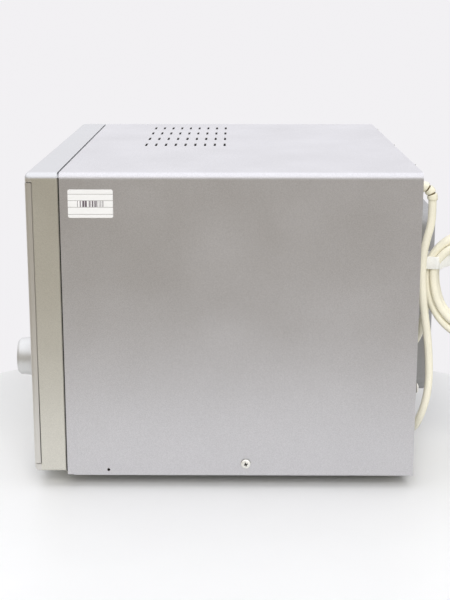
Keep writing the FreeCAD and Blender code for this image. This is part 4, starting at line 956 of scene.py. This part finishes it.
def use_group(tree, group, **inputs):
    """Place a shared effect in a finish, link its roughness, and give what it puts out."""
    node = tree.nodes.new("ShaderNodeGroup")
    node.node_tree = group
    feed_node(tree, node, inputs)
    drive(tree, Roughness=node.outputs["Roughness"])
    return node.outputs


def surface(slot, group, relief, metallic, **inputs):
    """A finish with the colour, roughness and height of a shared effect."""
    tree, place = new_finish(slot, Metallic=metallic)
    effect = use_group(tree, group, Vector=place, **inputs)
    drive(tree, Base_Color=effect["Colour"])
    raise_surface(tree, effect["Height"], relief)
    return tree, place, effect["Colour"]


def silver_paint(slot, colour, roughness, sparkle, metallic):
    """Sprayed metallic paint."""
    return surface(slot, flakes, paint_relief, metallic, Colour=colour, Roughness=roughness, Sparkle=sparkle)


def moulded(slot, colour, roughness, per_metre=1400.0, relief=0.00002):
    """Moulded plastic or rubber."""
    return surface(slot, grain, relief, 0.0, Colour=colour, Roughness=roughness, Grain=per_metre)


def sheet_metal(slot, colour, roughness, crystals=0.0, metallic=1.0):
    """Bare or plated metal."""
    return surface(
        slot, rolled, sheet_relief, metallic, Colour=colour, Roughness=roughness, Crystals=crystals)


def marked(tree, name):
    """The mask that a mesh attribute holds, which reads as nothing where a mesh lacks it."""
    node = tree.nodes.new("ShaderNodeAttribute")
    node.attribute_name = name
    return node.outputs["Fac"]


def clear(slot, colour, index, least, most):
    """Glass or clear plastic with a film of wiping."""
    tree, place = new_finish(slot, Base_Color=colour, IOR=index, Transmission_Weight=1.0)
    use_group(tree, film, Vector=place, Least=least, Most=most)


print("finish helpers ready")

# %% [markdown]
# The case is folded steel sheet in silver paint, and the front frame is plastic in a warmer silver.
# The knob, keys, button, rear cover and fan motor are painted too, and the door has the frame's own paint.
# Each line gives a slot, its colour, its roughness, its sparkle, and how metallic it is.

# %% Painted pieces
warm_silver = ((0.727, 0.712, 0.650), 0.41, 0.12, 0.82)

silver_paint("case_paint", (0.677, 0.672, 0.696), 0.42, 0.16, 0.86)
silver_paint("door_plastic", *warm_silver)
silver_paint("knob_plastic", (0.74, 0.745, 0.745), 0.50, 0.05, 0.90)
silver_paint("button_plastic", (0.62, 0.62, 0.60), 0.36, 0.10, 0.82)
silver_paint("key_plastic", (0.30, 0.31, 0.33), 0.38, 0.10, 0.60)
silver_paint("cover_paint", (0.36, 0.36, 0.365), 0.46, 0.10, 0.55)
silver_paint("motor_steel", (0.10, 0.10, 0.11), 0.40, 0.10, 0.40)
print("painted finishes", len(finishes))

# %% [markdown]
# The front frame is plastic that is sprayed silver on the outside.
# Its rim, which the case slides over, and the groove beside the control panel are darkened as painted shade
# in these gaps:
# the groove's painted shade is strong low down and faint higher up, and on top the rim's painted shade is
# weaker.
# The panel in front of the groove is a little cooler than the frame's side, and the frame's top gets a cooler
# tint as a painted reflection of the pale room.
# Masks on Object coordinates say where each of these is.

# %% Front frame's paint
seam_gap = 0.0016
shade_start_offset = 0.0003
top_reach = 0.0045
top_shade_share = 0.45
groove_wide = 0.0009
painted_seam_shade = (0.060, 0.058, 0.055)
cool_paint = (0.735, 0.717, 0.685)
faint_shade_height = 0.13
full_shade_height = 0.06
faint_shade_share = 0.15
full_shade_share = 0.85
top_reflection_tint = (0.650, 0.655, 0.672)
case_low, case_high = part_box("wrapper")
panel_low, panel_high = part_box("control_panel")
panel_edge = 0.0055
groove_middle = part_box("front_frame")[0].y + panel_edge + groove_wide / 2

tree, place, paint = silver_paint("front_plastic", *warm_silver)
frame_axes = split(tree, place)
# The rim and groove masks paint shade into the gaps beside the frame.
rim_shade_mask = calculate(tree, "GREATER_THAN", frame_axes["Y"], case_low.y - seam_gap + shade_start_offset)
on_top = calculate(tree, "GREATER_THAN", frame_axes["Z"], case_high.z - top_reach)
rim_shade_mask = calculate(tree, "MULTIPLY", rim_shade_mask, spread(tree, on_top, 1.0, top_shade_share))
panel_middle = (panel_low.z + panel_high.z) / 2
groove_line = calculate(tree, "COMPARE", frame_axes["Y"], groove_middle, groove_wide / 2)
beside_panel = calculate(tree, "COMPARE", frame_axes["Z"], panel_middle, (panel_high.z - panel_low.z) / 2)
groove_shade_mask = calculate(tree, "MULTIPLY", groove_line, beside_panel)
groove_share = spread(tree, frame_axes["Z"], full_shade_share, faint_shade_share, full_shade_height, faint_shade_height)
groove_shade_mask = calculate(tree, "MULTIPLY", groove_shade_mask, groove_share)
seam_shade_mask = calculate(tree, "MAXIMUM", rim_shade_mask, groove_shade_mask)
panel_mask = calculate(tree, "LESS_THAN", frame_axes["Y"], groove_middle)
two_paints = mix_colours(tree, panel_mask, paint, cool_paint)
# On top, a cooler tint is mixed in as a painted reflection.
paints_with_top_reflection = mix_colours(tree, on_top, two_paints, top_reflection_tint)
drive(tree, Base_Color=mix_colours(tree, seam_shade_mask, paints_with_top_reflection, painted_seam_shade))
print("seam plane", round(case_low.y - seam_gap, 4), "groove", round(groove_middle, 4))

# %% [markdown]
# Plain plastics, rubber and ceramic differ in grain and gloss.
# The cord's vinyl is ivory and soft, the feet are black rubber, and the tube holders are chalky ceramic.

# %% Moulded pieces
moulded("cord_sheath", (0.95, 0.912, 0.775), 0.36, 900.0, 0.00001)
moulded("tie_plastic", (0.90, 0.90, 0.89), 0.35, 700.0, 0.00001)
moulded("dark_plastic", (0.022, 0.022, 0.024), 0.48)
moulded("pointer_plastic", (0.030, 0.032, 0.036), 0.40)
moulded("foot_rubber", (0.018, 0.018, 0.018), 0.72, 1800.0, 0.00004)
moulded("seal_rubber", (0.16, 0.030, 0.022), 0.60, 1200.0, 0.00003)
moulded("white_ceramic", (0.80, 0.77, 0.70), 0.78, 2400.0, 0.00006)
moulded("wool_board", (0.70, 0.64, 0.50), 0.95, 700.0, 0.00050)
print("finishes so far", len(finishes))

# %% [markdown]
# The strain relief and the plug are moulded in the cord's ivory, and the relief's slits are darkened as
# painted shade.
# The slits were marked on the mesh with an attribute, which the plug lacks.

# %% Relief and plug
# Painted shade for the bottom of the slits between the collars.
painted_slit_shade = (0.13, 0.095, 0.040)

tree, place, ivory = moulded("relief_plastic", (0.95, 0.910, 0.755), 0.42, 1100.0)
drive(tree, Base_Color=mix_colours(tree, marked(tree, "slit"), ivory, painted_slit_shade))
print("finishes so far", len(finishes))

# %% [markdown]
# The oven's walls are aluminised, the rack's wire is bright, and the latch and coils are plain steel.
# The heat sink and the convection fan are bare aluminium, and the plug's pins are plated.

# %% Metal pieces
sheet_metal("oven_steel", (0.58, 0.575, 0.56), 0.34, 0.05)
sheet_metal("latch_steel", (0.52, 0.52, 0.52), 0.38)
sheet_metal("rack_wire", (0.70, 0.70, 0.70), 0.18)
sheet_metal("bare_aluminium", (0.72, 0.73, 0.74), 0.32)
sheet_metal("pin_plate", (0.70, 0.68, 0.62), 0.22)
print("finishes so far", len(finishes))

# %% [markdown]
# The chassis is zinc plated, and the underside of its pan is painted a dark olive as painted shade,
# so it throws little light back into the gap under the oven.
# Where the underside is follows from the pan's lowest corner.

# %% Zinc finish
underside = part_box("base_pan")[0].z
underside_shade_height = 0.003
painted_underside_shade = (0.13, 0.12, 0.085)

tree, place, zinc = sheet_metal("zinc_steel", (0.52, 0.515, 0.475), 0.38, 0.10)
# The pan's lowest few millimetres get the painted shade.
underside_shade_mask = calculate(tree, "LESS_THAN", split(tree, place)["Z"], underside + underside_shade_height)
drive(tree, Base_Color=mix_colours(tree, underside_shade_mask, zinc, painted_underside_shade))
print("underside at", round(underside, 4), "m")

# %% [markdown]
# The screws are nickel plated. The recess is darkened partly for plating that the driver wears off and partly
# as painted shade, and the head's rim is darkened as a painted shadow round the head. Both were marked on the
# mesh with an attribute, which the finish reads.

# %% Screw finish
# Worn plating and painted shade in the recess, and a painted shadow at the rim.
screw_wear_and_shade = (0.045, 0.036, 0.026)

tree, place, plating = sheet_metal("screw_steel", (0.93, 0.92, 0.87), 0.40, metallic=0.75)
drive(tree, Base_Color=mix_colours(tree, marked(tree, "recess"), plating, screw_wear_and_shade))
print("finishes so far", len(finishes))

# %% [markdown]
# The door has a smoked outer pane and a clear inner one, and the display sits behind a smoked lens.
# Quartz tubes are satin, so that their glow would spread.

# %% Clear pieces
clear("door_glass", (0.30, 0.30, 0.31), 1.52, 0.015, 0.07)
clear("clear_glass", (0.90, 0.93, 0.92), 1.52, 0.010, 0.06)
clear("lens_plastic", (0.34, 0.38, 0.40), 1.49, 0.020, 0.08)
clear("quartz", (0.93, 0.91, 0.87), 1.46, 0.12, 0.24)
print("finishes so far", len(finishes))

# %% [markdown]
# A stock label sits near the front seam: white paper with thin grey rules and a block of bars.
# Bars could be separate strips, but paper and ink are one surface, so they are drawn by the material.
# The bars come from white noise on evenly spaced steps, so they say nothing.

# %% Label paper
label_low, label_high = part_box("side_label")
rule_heights = (0.835, 0.61, 0.375, 0.125)
rule_half = 0.011
bars_across = (0.20, 0.80)
bars_up = (0.385, 0.60)
bar_steps = 90.0
bar_share = 0.36
rule_ink = (0.50, 0.49, 0.50)
bar_ink = (0.16, 0.13, 0.16)

tree, place = new_finish("label_paper")
label_axes = split(tree, place)
across = spread(tree, label_axes["Y"], 0.0, 1.0, label_low.y, label_high.y)
height = spread(tree, label_axes["Z"], 0.0, 1.0, label_low.z, label_high.z)
rules = 0.0
for rule in rule_heights:
    rules = calculate(tree, "MAXIMUM", rules, calculate(tree, "COMPARE", height, rule, rule_half))
bar_number = calculate(tree, "FLOOR", calculate(tree, "MULTIPLY", across, bar_steps))
bar_noise = tree.nodes.new("ShaderNodeTexWhiteNoise")
bar_noise.noise_dimensions = "1D"
tree.links.new(bar_number, bar_noise.inputs["W"])
bars = calculate(tree, "GREATER_THAN", bar_noise.outputs["Value"], bar_share)
for axis, (low, high) in ((across, bars_across), (height, bars_up)):
    inside = calculate(tree, "COMPARE", axis, (low + high) / 2, (high - low) / 2)
    bars = calculate(tree, "MULTIPLY", bars, inside)
paper = mix_colours(tree, noise(tree, place, 900.0), (0.95, 0.945, 0.97), (0.965, 0.96, 0.985))
ruled = mix_colours(tree, rules, paper, rule_ink)
paper_gloss = spread(tree, noise(tree, place, 1500.0), 0.55, 0.70)
drive(tree, Base_Color=mix_colours(tree, bars, ruled, bar_ink), Roughness=paper_gloss)
print("label", [round(side * 1000, 1) for side in (label_high - label_low)], "mm")

# %% [markdown]
# The circuit boards are green lacquer over copper, with darker ground between the tracks.
# Bricks of a wide, low shape give runs that turn at right angles, as a board's tracks do.

# %% Circuit board
track_rise = 0.00003

tree, place = new_finish("circuit_board", Coat_Weight=0.3)
flat = split(tree, place)
board_place = add_node(tree, "CombineXYZ", X=flat["X"], Y=flat["Z"]).outputs["Vector"]
tracks = add_node(
    tree, "TexBrick", Vector=board_place, Scale=160.0, Mortar_Size=0.12, Mortar_Smooth=0.1,
    Color1=(0.012, 0.11, 0.035), Color2=(0.010, 0.095, 0.030), Mortar=(0.030, 0.20, 0.070)).outputs
drive(tree, Base_Color=tracks["Color"], Roughness=spread(tree, tracks["Fac"], 0.42, 0.30))
raise_surface(tree, tracks["Fac"], track_rise)
print("finishes in all", len(finishes))

# %% [markdown]
# The record says which finish each node has, so one loop dresses them all.

# %% Dress the nodes
for piece in frame["record"]["subparts"]:
    node = nodes[piece["node"]]
    node.data.materials.clear()
    node.data.materials.append(finishes[piece["material_slot"]])
new_pieces = [
    cord, strap, relief, knob, side_screws, rear_screws, scale_marks, *key_signs, figures, coils, border]
for piece in new_pieces:
    piece.data.materials.append(finishes[piece["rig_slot"]])

# %% [markdown]
# The table is white laminate with a faint unevenness, and it is lifted a little for camera rays alone.
# Camera rays see a pale wall from every side.
# Glossy and transmitted rays see a room that is dimmer behind the camera and has a brighter ceiling:
# the case's side reflects that room, and its bend reflects the ceiling.
# Diffuse rays get an even light that is stronger from above, so that it stays dark under the oven.

# %% Table laminate
tree, place = new_finish("table_laminate")
ground = noise(tree, place, 24.0, 3.0)
laminate = mix_colours(tree, ground, (0.855, 0.857, 0.853), (0.873, 0.875, 0.871))
drive(tree, Base_Color=laminate, Roughness=spread(tree, ground, 0.40, 0.46))
looked_at = tree.nodes.new("ShaderNodeLightPath").outputs["Is Camera Ray"]
whiter = mix_colours(tree, looked_at, (0, 0, 0), (0.03, 0.03, 0.03))
drive(tree, Emission_Color=whiter, Emission_Strength=1.0)
table.data.materials.append(finishes["table_laminate"])
print("table finish ready")

# %% Room
wall_colour = (0.888, 0.876, 0.896)
dim_colour = (0.330, 0.290, 0.228)
ceiling_colour = (1.40, 1.40, 1.44)
low_light = (0.27, 0.262, 0.16)
high_light = (0.55, 0.55, 0.60)
view_slant = -0.80
dim_range = (0.1, 0.9)
ceiling_range = (0.24, 0.64)
high_range = (0.0, 0.8)

room = bpy.data.worlds.new("pale_room")
bpy.context.scene.world = room
room.use_nodes = True
tree = room.node_tree
direction = tree.nodes.new("ShaderNodeTexCoord").outputs["Generated"]
axes = split(tree, direction)
along_view = calculate(tree, "MULTIPLY_ADD", axes["Y"], view_slant, axes["X"])
dimming = spread(tree, along_view, 0.0, 1.0, *dim_range)
walls = mix_colours(tree, dimming, wall_colour, dim_colour)
mirrored = mix_colours(tree, spread(tree, axes["Z"], 0.0, 1.0, *ceiling_range), walls, ceiling_colour)
even_light = mix_colours(tree, spread(tree, axes["Z"], 0.0, 1.0, *high_range), low_light, high_light)
ray = tree.nodes.new("ShaderNodeLightPath").outputs
in_mirror = calculate(tree, "MAXIMUM", ray["Is Glossy Ray"], ray["Is Transmission Ray"])
not_looked_at = mix_colours(tree, in_mirror, even_light, mirrored)
room_colour = mix_colours(tree, ray["Is Camera Ray"], not_looked_at, wall_colour)
tree.links.new(room_colour, tree.nodes["Background"].inputs["Color"])
print("room nodes", len(tree.nodes))

# %% [markdown]
# Two soft lamps do the rest: a wide one overhead, which lights the top and the table,
# and one far behind the camera, which lights the side, the label and the cord.
# In the silver paint they would show as white patches, so they are hidden from glossy rays.
# The ceiling's own brightness draws the pale line along the case's bend instead.

# %% Lamps
def soft_lamp(name, place, target, size, power, colour):
    """A square area lamp aimed at a point, which reflections don't show."""
    lamp_data = bpy.data.lights.new(name, "AREA")
    lamp_data.size = size
    lamp_data.energy = power
    lamp_data.color = colour
    lamp = new_object(name, lamp_data)
    lamp.location = place
    lamp.visible_glossy = False
    lamp.rotation_euler = (Vector(target) - Vector(place)).to_track_quat("-Z", "Y").to_euler()


oven_middle = (0.0, 0.0, 0.14)
soft_lamp(
    "overhead", place=(0.10, 0.0, 1.9), target=oven_middle, size=2.1, power=16.0, colour=(0.97, 0.985, 1.0))
soft_lamp(
    "behind_camera", place=(6.0, 0.60, 3.66), target=oven_middle, size=4.0, power=285.0,
    colour=(1.0, 0.99, 0.975))
print("lamps ready")
